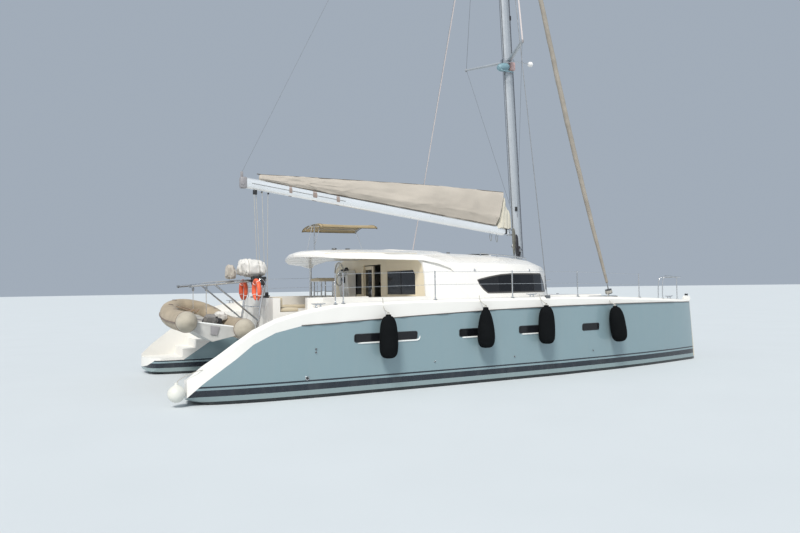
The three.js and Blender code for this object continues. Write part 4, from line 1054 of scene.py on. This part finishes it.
def boom_straps():
    straps = Shape()
    for x, wide in ((-3.78, 0.035), (-3.18, 0.05), (-2.59, 0.04)):
        straps.rings([ring_round(Vector((x + dx, 0, boom_top(x + dx) - 0.12)), Vector((0, 0.08 + out, 0)),
                                 Vector((0, 0, 0.125 + out)), 1, 40)
                      for dx, out in ((-wide, 0.0), (-wide, 0.005), (wide, 0.005), (wide, 0.0))], caps=False)
    straps.piece("boom_straps", "strap", "boom")


# Folds of the sail where it comes out of the cover at the mast: place, lean, length, width, height and phase.
LUFF_FOLDS = [(2.19, 0.17, 0.12, 0.13, 0.86, 0), (2.34, 0.03, 0.13, 0.135, 0.64, 2),
              (2.45, 0.01, 0.112, 0.112, 0.53, 4)]


def luff_folds():
    folds = Shape()
    base = boom_top(2.3) - 0.045
    for start, lean, long, wide, tall, phase in LUFF_FOLDS:
        rows = []
        for t in (k / 24 for k in range(25)):
            size = (1 - 0.35 * t) * math.sqrt(1 - max(0.0, (t - 0.55) / 0.45) ** 2) + 0.02
            row = []
            for a in circle(48):
                fold = 0.94 + 0.07 * math.sin(a * 4 + t * 2.5 + phase)
                fold += 0.04 * math.sin(a * 9 - t * 4 + phase)
                row.append((start + lean * t + math.cos(a) * long * size * fold,
                            math.sin(a) * wide * size * fold,
                            base + t * tall + 0.015 * math.sin(a * 3 + phase) * (1 - t)))
            rows.append(row)
        folds.rings(rows)
    folds.soft_piece("sail_luff_folds", "sail_cream", 0.35, "boom")


def mainsheet():
    upper, lower, falls = Shape(), Shape(), Shape()
    for x, size in ((-4.61, 1.0), (-4.45, 0.45), (-4.3, 0.45)):
        z = boom_top(x) - 0.245
        upper.block((x - 0.045 * size, -0.03 * size, z - 0.11 * size),
                    (x + 0.045 * size, 0.03 * size, z - 0.008), 0.008)
        wheel = [(0.036, -0.036), (0.042, -0.03), (0.042, 0.03), (0.036, 0.036)]
        upper.lathe([(r * size, h * size) for r, h in wheel], (x, 0, z - 0.07 * size), (0, 1, 0), 20)
    upper.piece("mainsheet_upper_blocks", "black", "boom")
    floor = 1.84
    for x in (-4.52, -4.36):
        lower.block((x - 0.04, -0.03, floor + 0.03), (x + 0.04, 0.03, floor + 0.12), 0.012)
    lower.block((-4.57, -0.62, floor), (-4.49, 0.62, floor + 0.025), 0.006)
    lower.block((-4.58, -0.07, floor + 0.02), (-4.3, 0.07, floor + 0.05), 0.008)
    lower.piece("mainsheet_traveller", "black")
    for x0, x1, y, hang in ((-4.64, -4.56, -0.02, 0.33), (-4.58, -4.48, 0.02, 0.33),
                            (-4.45, -4.4, -0.02, 0.27), (-4.3, -4.34, 0.02, 0.27)):
        falls.tube(straight((x1, y, floor + 0.1), (x0, y, boom_top(x0) - hang), 40), 0.0065)
    falls = falls.piece("mainsheet_falls", "rope", None)
    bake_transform(falls)


def boom_gear():
    tail = boom_top(-4.925) - BOOM_HALF
    end = Shape().block((-4.955, -0.086, tail - 0.142), (-4.8, 0.086, tail + 0.118), 0.035)
    end.block((-4.94, -0.016, tail + 0.1), (-4.88, 0.016, tail + 0.24), 0.008)
    end.lathe([(0.035, -0.095), (0.04, -0.085), (0.028, 0), (0.04, 0.085), (0.035, 0.095)],
              (-4.91, 0, tail - 0.04), (0, 1, 0), 20)
    end.piece("boom_end_fitting", "grey", "boom")
    mainsheet()
    lines = Shape()
    for x0, x1, y in ((-4.7, -3.3, 0.079), (-4.7, -2.4, -0.079)):
        lines.tube(straight((x0, y, boom_top(x0) - 0.12), (x1, y, boom_top(x1) - 0.13), 12), 0.005, 6)
    for x in (1.9, 2.1):
        z = boom_top(x) - 0.25
        loop = [(x + dx, y, z + up) for dx, y, up in ((0, 0.02, 0.02), (-0.02, 0.025, -0.1),
                                                      (0.02, 0.02, -0.2), (0.05, 0.02, -0.02))]
        lines.tube(smooth_path(loop), 0.006)
    lines.piece("reef_lines", "rope_grey", "boom")
    Shape().block((2.335, -0.05, 3.44), (2.415, 0.05, 3.6), 0.01).piece("boom_clutches", "black", "boom")
    neck = Shape()
    for z in (3.545, 3.42):
        neck.block((2.5, -0.045, z), (mast_x(3.5) - 0.1, 0.045, z + 0.025), 0.006)
    neck.lathe([(0.014, -0.1), (0.014, 0.1)], (2.515, 0, 3.495), sides=14).piece("gooseneck_bracket", "steel")
    head = mast_x(18.5) - 0.17
    lift = Shape().tube(straight((-4.91, 0, tail + 0.22), (head, 0, 18.55), 60), 0.003, 6)
    lift = lift.piece("topping_lift", "wire", None)
    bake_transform(lift)


def spreaders():
    x = mast_x(8.25)
    Shape().block((x - 0.17, -0.11, 8.17), (x + 0.17, 0.11, 8.32), 0.03).piece("spreader_bracket", "alloy")
    arms, tips, wires = Shape(), Shape(), Shape()
    for side, _ in SIDES:
        rings = []
        for k, p in enumerate(straight((x, side * 0.07, 8.255), (2.08, side * 1.325, 8.33), 10)):
            size = 1 - 0.3 * k / 10
            rings.append(ring_round(p, Vector((0.078, 0, 0)), UP * 0.038, size, 20))
        arms.rings(rings)
        tips.lathe([(0, -0.045), (0.022, -0.04), (0.03, -0.015), (0.03, 0.015), (0.022, 0.04), (0, 0.045)],
                   (2.08, side * 1.33, 8.33), sides=18)
        wires.tube(straight((2.08, side * 1.32, 8.36), (mast_x(18.3), side * 0.075, 18.3), 30), 0.005, 6)
        wires.tube(straight((2.08, side * 1.3, 8.3), (mast_x(3.9), side * 0.08, 3.9), 20), 0.004, 6)
    arms.piece("spreader_skins", "mast")
    tips.piece("spreader_tips", "grey")
    wires.piece("diamond_stays", "wire")
    tip, foot = Vector((2.08, -1.32, 8.36)), Vector((1.02, 3.372, 1.7))
    head, hound = Vector((mast_x(18.3), -0.075, 18.3)), Vector((mast_x(16.0), 0.08, 16.0))
    sleeves = Shape().tube(straight(tip, tip.lerp(head, 0.35), 14), 0.021)
    sleeves.tube(straight(foot.lerp(hound, 0.03), foot.lerp(hound, 0.62), 40), 0.0165)
    sleeves.piece("stay_sleeves", "sleeve")


def mast_boxes():
    x = mast_x(8.25)
    Shape().block((x - 0.02, -0.2, 7.97), (x + 0.13, -0.09, 8.2), 0.03).piece("mast_light_box", "rosy")
    dome = Shape().lathe([(0.0, -0.2), (0.06, -0.19), (0.1, -0.13), (0.115, 0.0), (0.1, 0.13), (0.06, 0.19),
                          (0.0, 0.2)], (x - 0.24, -0.13, 8.03), (1, 0.1, 0.25), 28)
    bracket = [(x - 0.42, -0.14, 7.98), (x - 0.3, -0.24, 7.9), (x - 0.05, -0.24, 7.9), (x + 0.12, -0.1, 7.94)]
    dome.tube(smooth_path(bracket), 0.016, 10).piece("mast_sounder", "teal")
    arm = smooth_path([(x + 0.15, 0, 8.29), (x + 0.45, 0, 8.3), (x + 0.74, 0, 8.29)])
    Shape().tube(arm, 0.012, 10).piece("lamp_arm", "alloy")
    lamp = Shape().lathe([(0.0, -0.07), (0.05, -0.065), (0.07, -0.03), (0.07, 0.03), (0.045, 0.06),
                          (0.0, 0.065)], (x + 0.8, 0, 8.29), (1, 0, 0.15))
    lamp.piece("mast_lamp", "white")
    upper, lower = mast_x(9.48), mast_x(4.14)
    small = Shape().block((upper + 0.12, -0.035, 9.43), (upper + 0.19, 0.035, 9.56), 0.012)
    small.block((lower - 0.07, -0.105, 4.08), (lower, -0.075, 4.2), 0.01).piece("mast_fitting", "black")


def masthead():
    aerial = HEAD_X - 0.12
    gear = Shape().tube([(aerial, 0, HEAD_Z), (aerial, 0, 18.85), (aerial, 0, 19.1)], [0.006, 0.004, 0.0025])
    gear.lathe([(0.03, 0.0), (0.03, 0.04), (0.034, 0.05), (0.034, 0.09), (0.02, 0.11), (0, 0.115)],
               (HEAD_X + 0.1, 0, HEAD_Z), sides=20)
    vane_arm = [(HEAD_X + dx, 0.02, z) for dx, z in ((0, HEAD_Z), (0, 18.78), (-0.08, 18.84), (-0.4, 18.86))]
    gear.tube(smooth_path(vane_arm, 5), 0.005)
    gear.block((HEAD_X - 0.48, 0.015, 18.8), (HEAD_X - 0.3, 0.024, 18.93), 0.003)
    gear.piece("masthead_gear", "black")


# Place forward of the mast's middle and to port of it, and lower and upper end, of each halyard.
HALYARDS = [(0.12, -0.05, 2.78, 17.9), (0.135, -0.015, 2.78, 18.3), (0.12, 0.05, 2.78, 16.2),
            (-0.13, -0.03, 2.85, 18.2), (-0.16, -0.01, 4.3, 18.45)]
# Sideways place, height, drop, place forward of the mast's middle, and rope of each hank.
HANKS = [(-0.07, 3.62, 0.74, -0.17, "rope_grey"), (-0.1, 3.44, 0.66, -0.1, "rope_dark"),
         (-0.1, 3.12, 0.34, -0.035, "rope_dark")]
HANK_TURNS = 5


def mast_gear():
    spreaders()
    mast_boxes()
    masthead()
    lines, drums, tops = Shape(), Shape(), Shape()
    for dx, dy, low, high in HALYARDS:
        foot = (mast_x(low) + dx * 1.15, dy * 1.3, low)
        lines.tube(straight(foot, (mast_x(high) + dx * 1.02, dy * 1.1, high), 40), 0.0055, 6)
    lines.piece("halyards", "rope_dark")
    for z, side in ((3.0, -1), (3.12, 1)):
        winch(drums, tops, (mast_x(z) - 0.02, side * 0.075, z), 0.85, (0, side, 0))
    drums.piece("mast_winch_drums", "steel")
    tops.piece("mast_winch_tops", "darksteel")
    for number, (y, z, drop, start, rope) in enumerate(HANKS):
        coil(number, mast_x(z) + start, y, z, drop, rope)


# A hank of rope hung on the starboard side of the mast: tall loops side by side.
def coil(number, x, y, top, drop, rope):
    path = []
    for k in range(HANK_TURNS * 24 + 1):
        a = 2 * math.pi * k / 24 - math.pi / 2
        wide = 0.026 * (1 + 0.3 * math.sin(k * 0.5))
        tall = drop / 2 * (1 - 0.03 * (k // 24))
        path.append((x + math.cos(a) * wide, y - k / 24 * 0.0135, top - drop / 2 + math.sin(a) * tall))
    hank = Shape().tube(path, 0.006, 6).piece(f"halyard_hank_{number}", rope)


# Forward place, height and radius along the rolled headsail.
FURL = [(6.085, 2.08, 0.038), (5.445, 4.15, 0.062), (4.65, 6.9, 0.07), (3.78, 10.3, 0.064),
        (3.06, 13.3, 0.05), (2.56, 15.5, 0.026)]


def headsail():
    route = smooth_path([(x, 0, z) for x, z, _ in FURL], 30)
    across = Vector((0, 1, 0))
    rings = []
    for i, p in enumerate(route):
        a, b = next((a, b) for a, b in zip(FURL, FURL[1:]) if p.z <= b[1] + 1e-6)
        radius = a[2] + (b[2] - a[2]) * (p.z - a[1]) / (b[1] - a[1])
        other = heading(route, i).cross(across).normalized()
        ring = []
        for a in circle(40):
            lap = 0.94 + 0.13 * (1 - (a + p.z * 5.5) % (2 * math.pi) / (2 * math.pi)) ** 0.7
            lump = 1 + 0.05 * noise.noise(Vector((math.cos(a), math.sin(a), p.z * 2.5)))
            ring.append(p + (across * math.cos(a) + other * math.sin(a)) * radius * lap * lump)
        rings.append(ring)
    lowest = [route[0] + (p - route[0]) * 0.35 - UP * 0.03 for p in rings[0]]
    Shape().rings([lowest] + rings).soft_piece("headsail_roll", "sail", 0.8)
    stay = Shape().tube(straight((2.56, 0, 15.48), (mast_x(16.0) + 0.14, 0, 16.0), 6), 0.012, 10)
    stay.tube(straight((6.165, 0, 1.8), (6.085, 0, 2.1), 6), 0.014, 10)
    stay.lathe([(0.03, -0.05), (0.036, -0.03), (0.036, 0.03), (0.03, 0.05)], (2.5, 0, 15.66),
               (-0.22, 0, 1), 18)
    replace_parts(stay.piece("forestay_ends", "steel"), "headsail")
    base = Vector((6.165, 0, 1.74))
    axis = Vector((-0.28, 0, 1)).normalized()
    drum = Shape().lathe([(0.05, -0.01), (0.1, 0.0), (0.102, 0.012), (0.055, 0.018), (0.05, 0.1),
                          (0.096, 0.108), (0.1, 0.12), (0.05, 0.13)], base + axis * 0.01, axis, 32)
    drum.piece("furler_flanges", "black")
    wound = Shape()
    for k in range(6):
        turn = ring_round(base + axis * (0.035 + k * 0.012), across, axis.cross(across), 0.1, 24)
        wound.tube(turn, 0.006, 6, closed=True)
    wound.piece("furling_line_turns", "rope")


# Deck soft goods

NET_AFT, NET_LONG = 4.165, 1.815
NET_ROWS = 41


def trampolines():
    inner, far = 0.117, 2.6
    for side, tag in SIDES:
        surface = skin(f"trampoline_{tag}")
        top = max(v.co.z for v in NODES[f"trampoline_{tag}"].data.vertices)
        rows = []
        for k in range(NET_ROWS):
            x = NET_AFT + k * (NET_LONG / 40)
            tries = [0.13 + i * 0.004 for i in range(int((far - 0.13) / 0.004) + 1)]
            hits = [y for y in tries
                    if surface.ray_cast(Vector((x, side * y, 3)), Vector(DOWN), 1.6)[0] is not None]
            outer = max(hits, default=1.9) - 0.004
            row = []
            for t in (j / 40 for j in range(NET_ROWS)):
                sag = 0.02 * math.sin(math.pi * t) * math.sin(math.pi * k / 40)
                row.append((x, side * (inner + (outer - inner) * t), top - 0.006 - sag))
            rows.append(row)
        net = Shape().rings(rows, caps=False, wrap=False).piece(f"trampoline_net_{tag}", "net", angle=60)
        loop = rows[0] + [row[-1] for row in rows[1:]] + rows[-1][-2::-1] + [row[0] for row in rows[-2:0:-1]]
        edge = Shape().tube(loop, 0.009, closed=True).piece(f"trampoline_hem_{tag}", "white")
        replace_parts(net, f"trampoline_{tag}")


# The forward place of each fender, and the radius and height along one.
FENDER_XS = (-3.04, -0.79, 0.81, 3.08)
FENDER = [(0.02, 0.004), (0.06, 0.0), (0.11, 0.016), (0.15, 0.06), (0.172, 0.13), (0.18, 0.22), (0.18, 0.34),
          (0.176, 0.46), (0.166, 0.58), (0.15, 0.67), (0.122, 0.745), (0.09, 0.79), (0.06, 0.806),
          (0.052, 0.812), (0.055, 0.832), (0.03, 0.838)]


def fenders():
    for number, x in enumerate(FENDER_XS, 1):
        low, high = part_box(f"fender_{number}")
        points = [v.co for v in NODES[f"fender_{number}"].data.vertices]
        foot = [p for p in points if p.z < low.z + 0.02]
        head = [p for p in points if p.z > high.z - 0.02]
        base = sum(foot, Vector()) / len(foot)
        axis = (sum(head, Vector()) / len(head) - base).normalized()
        across = axis.orthogonal().normalized()
        other = axis.cross(across)
        profile = FENDER
        if number == 2:
            profile = [(r * (1 - 0.34 * max(0.0, (h - 0.3) / 0.5) ** 1.3) if h < 0.8 else r, h)
                       for r, h in FENDER]
        rings = []
        for _, radius, height in smooth_path([(0, r, h) for r, h in profile], 4):
            ring = []
            for a in circle(48):
                spot = Vector((math.cos(a) * 1.5, math.sin(a) * 1.5, height * 5 + number))
                reach = max(radius, 0.001) * (1 + 0.012 * noise.noise(spot))
                ring.append(base + axis * height + (across * math.cos(a) + other * math.sin(a)) * reach)
            rings.append(ring)
        cover = Shape().rings(rings).soft_piece(f"fender_cover_{number}", "fender", 0.9)
        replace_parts(cover, f"fender_{number}")
        top = base + axis * 0.84
        y = deck_edge(-1, "stbd", x, 0.12).y
        line = [top - axis * 0.03, top + axis * 0.02, (top.x - 0.015, y - 0.012, top.z + 0.12),
                (top.x - 0.02, y + 0.03, 1.83)]
        eye = ring_round(top + UP * 0.01, Vector((0.024, 0, 0)), UP * 0.03, 1, 18)
        rope = Shape().tube(smooth_path(line, 8), 0.008).tube(eye, 0.007, 6, closed=True)
        rope.piece(f"fender_line_{number}", "rope")


def ball_fender():
    profile = [(0.0, -0.15), (0.05, -0.143), (0.1, -0.112), (0.14, -0.055), (0.15, 0.0), (0.14, 0.055),
               (0.108, 0.105), (0.06, 0.14), (0.032, 0.156), (0.03, 0.185), (0.02, 0.195), (0.0, 0.196)]
    curve = [(radius, height) for _, radius, height in smooth_path([(0, r, h) for r, h in profile], 4)]
    Shape().lathe(curve, (-6.87, -2.97, 0.24), sides=40).soft_piece("ball_fender", "ball", 1.0, angle=38)
    line = [(-6.87, -2.97, 0.42), (-6.8, -3.0, 0.5), (-6.55, -3.12, 0.62), (-6.3, -3.1, 0.66)]
    Shape().tube(smooth_path(line), 0.007).piece("ball_fender_line", "rope")


# Stern

TACKLE_X = -5.87
BUOY_THICK = 0.052


def tackles():
    blocks, lines = Shape(), Shape()
    for y in (-0.7, 0.7):
        for z in (2.06, 1.42):
            blocks.block((TACKLE_X - 0.025, y - 0.02, z - 0.045), (TACKLE_X + 0.025, y + 0.02, z + 0.045),
                         0.012)
            blocks.lathe([(0.028, -0.024), (0.03, -0.018), (0.03, 0.018), (0.028, 0.024)], (TACKLE_X, y, z),
                         (0, 1, 0), 18)
        for dy in (-0.02, 0.02):
            lines.tube(straight((TACKLE_X, y + dy, 1.44), (TACKLE_X, y + dy, 2.05), 8), 0.005, 6)
        lead = [(x, y + dy, z) for x, dy, z in ((TACKLE_X, 0.02, 2.1), (-5.6, 0.03, 2.2), (-5.0, 0.03, 2.24),
                                                (-4.62, 0.03, 2.2), (-4.62, 0.035, 1.9))]
        lines.tube(smooth_path(lead, 8), 0.005, 6)
        blocks.block((-6.225, y - 0.032, 2.09), (-6.17, y + 0.032, 2.15), 0.012)
    blocks.piece("davit_blocks", "darksteel")
    lines.piece("davit_lines", "rope")


def lifebuoy(number, x, y):
    angles = [math.radians(-62 + 304 * k / 24) for k in range(25)]
    path = smooth_path([(x, y + 0.2 * math.cos(a), 2.0 + 0.21 * math.sin(a)) for a in angles], 2)
    count = len(path)
    radii = [BUOY_THICK * min(1.0, 0.35 + 4 * min(i, count - 1 - i) / count) for i in range(count)]
    Shape().tube(path, radii, 14, flat=0.8).soft_piece(f"lifebuoy_{number}", "orange", 0.8, angle=38)
    bands = Shape()
    for k in (6, 18, 30, 42):
        ahead = (path[k + 1] - path[k]).normalized()
        across = Vector((1, 0, 0))
        around = ring_round(path[k], across * 0.045, ahead.cross(across) * 0.053, radii[k] / BUOY_THICK, 20)
        bands.tube(around, 0.006, 6, closed=True)
    bands.piece(f"lifebuoy_bands_{number}", "white")
    bend = ((0.05, 2.22), (0.09, 2.25), (0.16, 2.2), (0.22, 2.06))
    hook = smooth_path([(x + dx, y, z) for dx, z in bend], 5)
    Shape().tube(hook, 0.007).piece(f"lifebuoy_hook_{number}", "steel")


def stern_gear():
    tackles()
    box = Shape().block((-4.93, -1.02, 2.12), (-4.68, -0.76, 2.29), 0.02)
    box.block((-4.94, -1.03, 2.25), (-4.67, -0.75, 2.3), 0.012).piece("stern_locker_box", "black")
    lifebuoy(0, -4.99, -0.36)
    lifebuoy(1, -4.96, -1.3)


# A lumpy bag, drawn in at each tie.
def bundle(name, middle, size, material, fill, lumps, ties=()):
    made = bmesh.new()
    bmesh.ops.create_icosphere(made, subdivisions=5, radius=1.0)
    middle = Vector(middle)
    start = Vector((middle.x, 0, 3))
    for v in made.verts:
        p = v.co.normalized()
        bulge = 1 + lumps * 0.8 * noise.noise(p * 1.3 + start)
        for across, along, share in ((2.1, 0.8, 0.5), (4.6, 1.5, 0.22)):
            fold = 1 - abs(noise.noise(Vector((p.x * across, p.y * across, p.z * along)) + start))
            bulge += lumps * share * (fold ** 7 - 0.4)
        for tie in ties:
            bulge -= 0.1 * math.exp(-((p.x - tie) / 0.07) ** 2)
        square = [math.copysign(abs(c) ** 0.72, c) for c in p]
        v.co = middle + Vector([square[i] * size[i] * bulge for i in range(3)])
    return Shape().take(made).soft_piece(name, material, fill)


def bundles():
    middle = Vector((-4.9, -0.72, 2.49))
    wrapped = bundle("wrapped_bundle", middle, (0.3, 0.26, 0.2), "bag", 0.6, 0.2, (-0.45, 0.35))
    bundle("rolled_cover", (-5.36, -0.72, 2.4), (0.1, 0.2, 0.15), "canvas", 0.5, 0.25)
    surface = surface_of(wrapped.data)
    cords = Shape()
    for dx in (-0.13, 0.1):
        hub = middle + Vector((dx, 0, 0))
        ways = ring_round(Vector(), Vector((0, 1, 0)), UP, 1, 40)
        tie = [surface.ray_cast(hub + way * 0.6, -way)[0] + way * 0.003 for way in ways]
        cords.tube(tie, 0.006, 6, closed=True)
    cords.piece("bundle_ties", "rope")


# Tender: its own x runs across it, y to its bow and z up, and it hangs turned by TILT about its y.
TILT = 0.16
TENDER_AT = Vector((-5.87, 0, 1.325))
TUBE_OUT, TUBE_RADIUS, TUBE_END = 0.575, 0.205, -1.56
# Share of the half width, place and height along one side of the tubes.
TENDER_SIDE = [(1, TUBE_END, 0), (1, -0.35, 0.01), (0.97, 0.532, 0.08), (0.82, 1.011, 0.185),
               (0.45, 1.277, 0.265)]


def in_tender(x, y, z):
    return TENDER_AT + Vector((x * math.cos(TILT) + z * math.sin(TILT), y,
                               z * math.cos(TILT) - x * math.sin(TILT)))


def out_of_tender(p):
    x, y, z = p - TENDER_AT
    return Vector((x * math.cos(TILT) - z * math.sin(TILT), y, x * math.sin(TILT) + z * math.cos(TILT)))


# The direction ahead and the upright one, at a point of the tubes' middle line.
def tube_frame(path, i):
    ahead = heading(path, i)
    return ahead, (UP - ahead * ahead.z).normalized()


def tender_tubes(path):
    rings, strake = [], []
    travelled = 0.0
    for i, p in enumerate(path):
        travelled += (p - path[max(i - 1, 0)]).length
        ahead, up = tube_frame(path, i)
        out = ahead.cross(up)
        seam = 0.004 * math.exp(-(((travelled % 0.62) - 0.31) / 0.012) ** 2)
        ring = []
        for a in circle(40):
            soft = 0.0025 * noise.noise(Vector((math.cos(a) * 2, math.sin(a) * 2, travelled * 3)))
            radius = TUBE_RADIUS - seam + soft
            ring.append(in_tender(*(p + (out * math.cos(a) + up * math.sin(a)) * radius)))
        rings.append(ring)
        outward = 1 if out.dot(Vector((p.x, p.y, 0))) > 0 else -1
        strake.append(in_tender(*(p + out * (0.2 * outward) - up * 0.045)))
    tubes = Shape().rings(rings, caps=False).soft_piece("tender_tube_skin", "tube", 1.0)
    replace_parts(tubes, "tender_tubes")
    cones, bands = Shape(), Shape()
    for x in (TUBE_OUT, -TUBE_OUT):
        rows = [[in_tender(x + r * math.cos(a), TUBE_END - h, r * math.sin(a) + h * 0.1) for a in circle(40)]
                for r, h in ((TUBE_RADIUS, 0.0), (0.206, 0.03), (0.2, 0.07), (0.182, 0.115), (0.152, 0.16),
                             (0.112, 0.198), (0.066, 0.222), (0.02, 0.232), (0.0, 0.233))]
        cones.rings(rows)
        band = [in_tender(x + 0.207 * math.cos(a), TUBE_END - 0.005, 0.207 * math.sin(a)) for a in circle(40)]
        bands.tube(band, 0.006, 6, closed=True)
    cones.soft_piece("tender_tube_ends", "cone", 1.0)
    bands.piece("tender_seam_bands", "tube_dark")
    Shape().tube(strake, 0.017, 10).piece("tender_rub_strake", "tube_dark")


def tender_trim(path):
    patches = Shape()
    marks = [6, 20, 34, 78, 92, 106]
    for i in marks:
        up = tube_frame(path, i)[1]
        place = in_tender(*(path[i] + up * 0.203))
        patches.lathe([(0.055, -0.004), (0.05, 0.004), (0.02, 0.006), (0, 0.0065)], place,
                      in_tender(*(path[i] + up * 0.3)) - place, 20)
    patches.piece("tender_patches", "tube_dark")
    grab = []
    for i in range(marks[0], marks[2] + 1, 2):
        drop = 0.03 * abs(math.sin(math.pi * (i - marks[0]) / 14))
        grab.append(in_tender(*(path[i] + tube_frame(path, i)[1] * 0.213 + Vector((drop, 0, 0)))))
    Shape().tube(smooth_path(grab, 3), 0.006, 6).piece("tender_grab_line", "rope")


def tender_moulding():
    mesh = NODES["tender_hull"].data
    points = []
    for v in mesh.vertices:
        q = out_of_tender(v.co)
        if q.y < -1.4 and q.z > 0.05:
            q.z = 0.012
        points.append(in_tender(*q))
    hull = Shape().add(points, [tuple(f.vertices) for f in mesh.polygons])
    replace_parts(hull.piece("tender_hull_skin", "tender"), "tender_hull")
    outline = divided([(-0.09, 0.075), (0.09, 0.075), (0.065, -0.1), (-0.065, -0.1)], 0.04)
    plate = Shape().rings([[in_tender(u, -1.528 - out, w - 0.09) for u, w in grow(outline, size)]
                           for size, out in ((0.0, -0.01), (0.0, 0.012), (-0.006, 0.018))])
    plate.piece("tender_motor_pad", "grey", slot="tender")
    rim = Shape().tube([in_tender(-0.37 + k * 0.0463, -1.49, 0.014) for k in range(17)], 0.022, 10)
    rim.piece("tender_transom_rim", "lip", slot="tender")
    x0, x1 = in_tender(-0.42, -0.45, 0.1).x, in_tender(0.42, -0.2, 0.14).x
    thwart = Shape().block((x0, -0.47, 1.38), (x1, -0.22, 1.405), 0.01, Matrix.Rotation(TILT, 3, "Y"),
                           Vector((TENDER_AT.x, 0, 1.4)))
    thwart.piece("tender_thwart", "grey", slot="tender")


def tender_load():
    oars = Shape()
    for x, y0, y1, z in ((-0.36, -1.1, 0.6, 0.235), (-0.5, -1.3, 0.5, 0.225)):
        oars.tube([in_tender(x, y0, z), in_tender(x + 0.05, y1, z + 0.06)], 0.016, 10)
        oars.tube([in_tender(x, y0 + dy, z) for dy in (-0.3, -0.15, 0)], [0.05, 0.062, 0.02], 10, flat=0.25)
    oars.piece("tender_oars", "wood")
    p = in_tender(0.12, -0.95, 0.02)
    tank = Shape().block(p - Vector((0.12, 0.16, 0.06)), p + Vector((0.12, 0.16, 0.12)), 0.03)
    tank.lathe([(0.03, 0.0), (0.03, 0.03), (0.02, 0.036), (0, 0.037)], p + Vector((0.03, 0, 0.12)), sides=18)
    tank.piece("tender_fuel_tank", "black")
    bundle("tender_bag", in_tender(0.3, -0.55, 0.19), (0.13, 0.2, 0.1), "bag", 0.5, 0.2)
    bundle("tender_folded_cover", in_tender(-0.05, -1.2, 0.1), (0.14, 0.16, 0.1), "grey_cloth", 0.4, 0.3)


def tender():
    side = [(TUBE_OUT * w, y, z) for w, y, z in TENDER_SIDE]
    path = smooth_path(side + [(0, 1.33, 0.29)] + [(-x, y, z) for x, y, z in reversed(side)], 12)
    tender_tubes(path)
    tender_trim(path)
    tender_moulding()
    tender_load()


make_materials()
add_camera()
add_stage()
dress_nodes()
mouldings()
inner_panels()
portlights()
hull_fittings()
stern_skirts()
cleats()
deck_fittings()
cabin_fittings()
roof_fittings()
helm_fittings()
cockpit_soft()
sunshade()
sail_cover()
boom_straps()
luff_folds()
boom_gear()
mast_gear()
headsail()
trampolines()
fenders()
ball_fender()
stern_gear()
bundles()
tender()
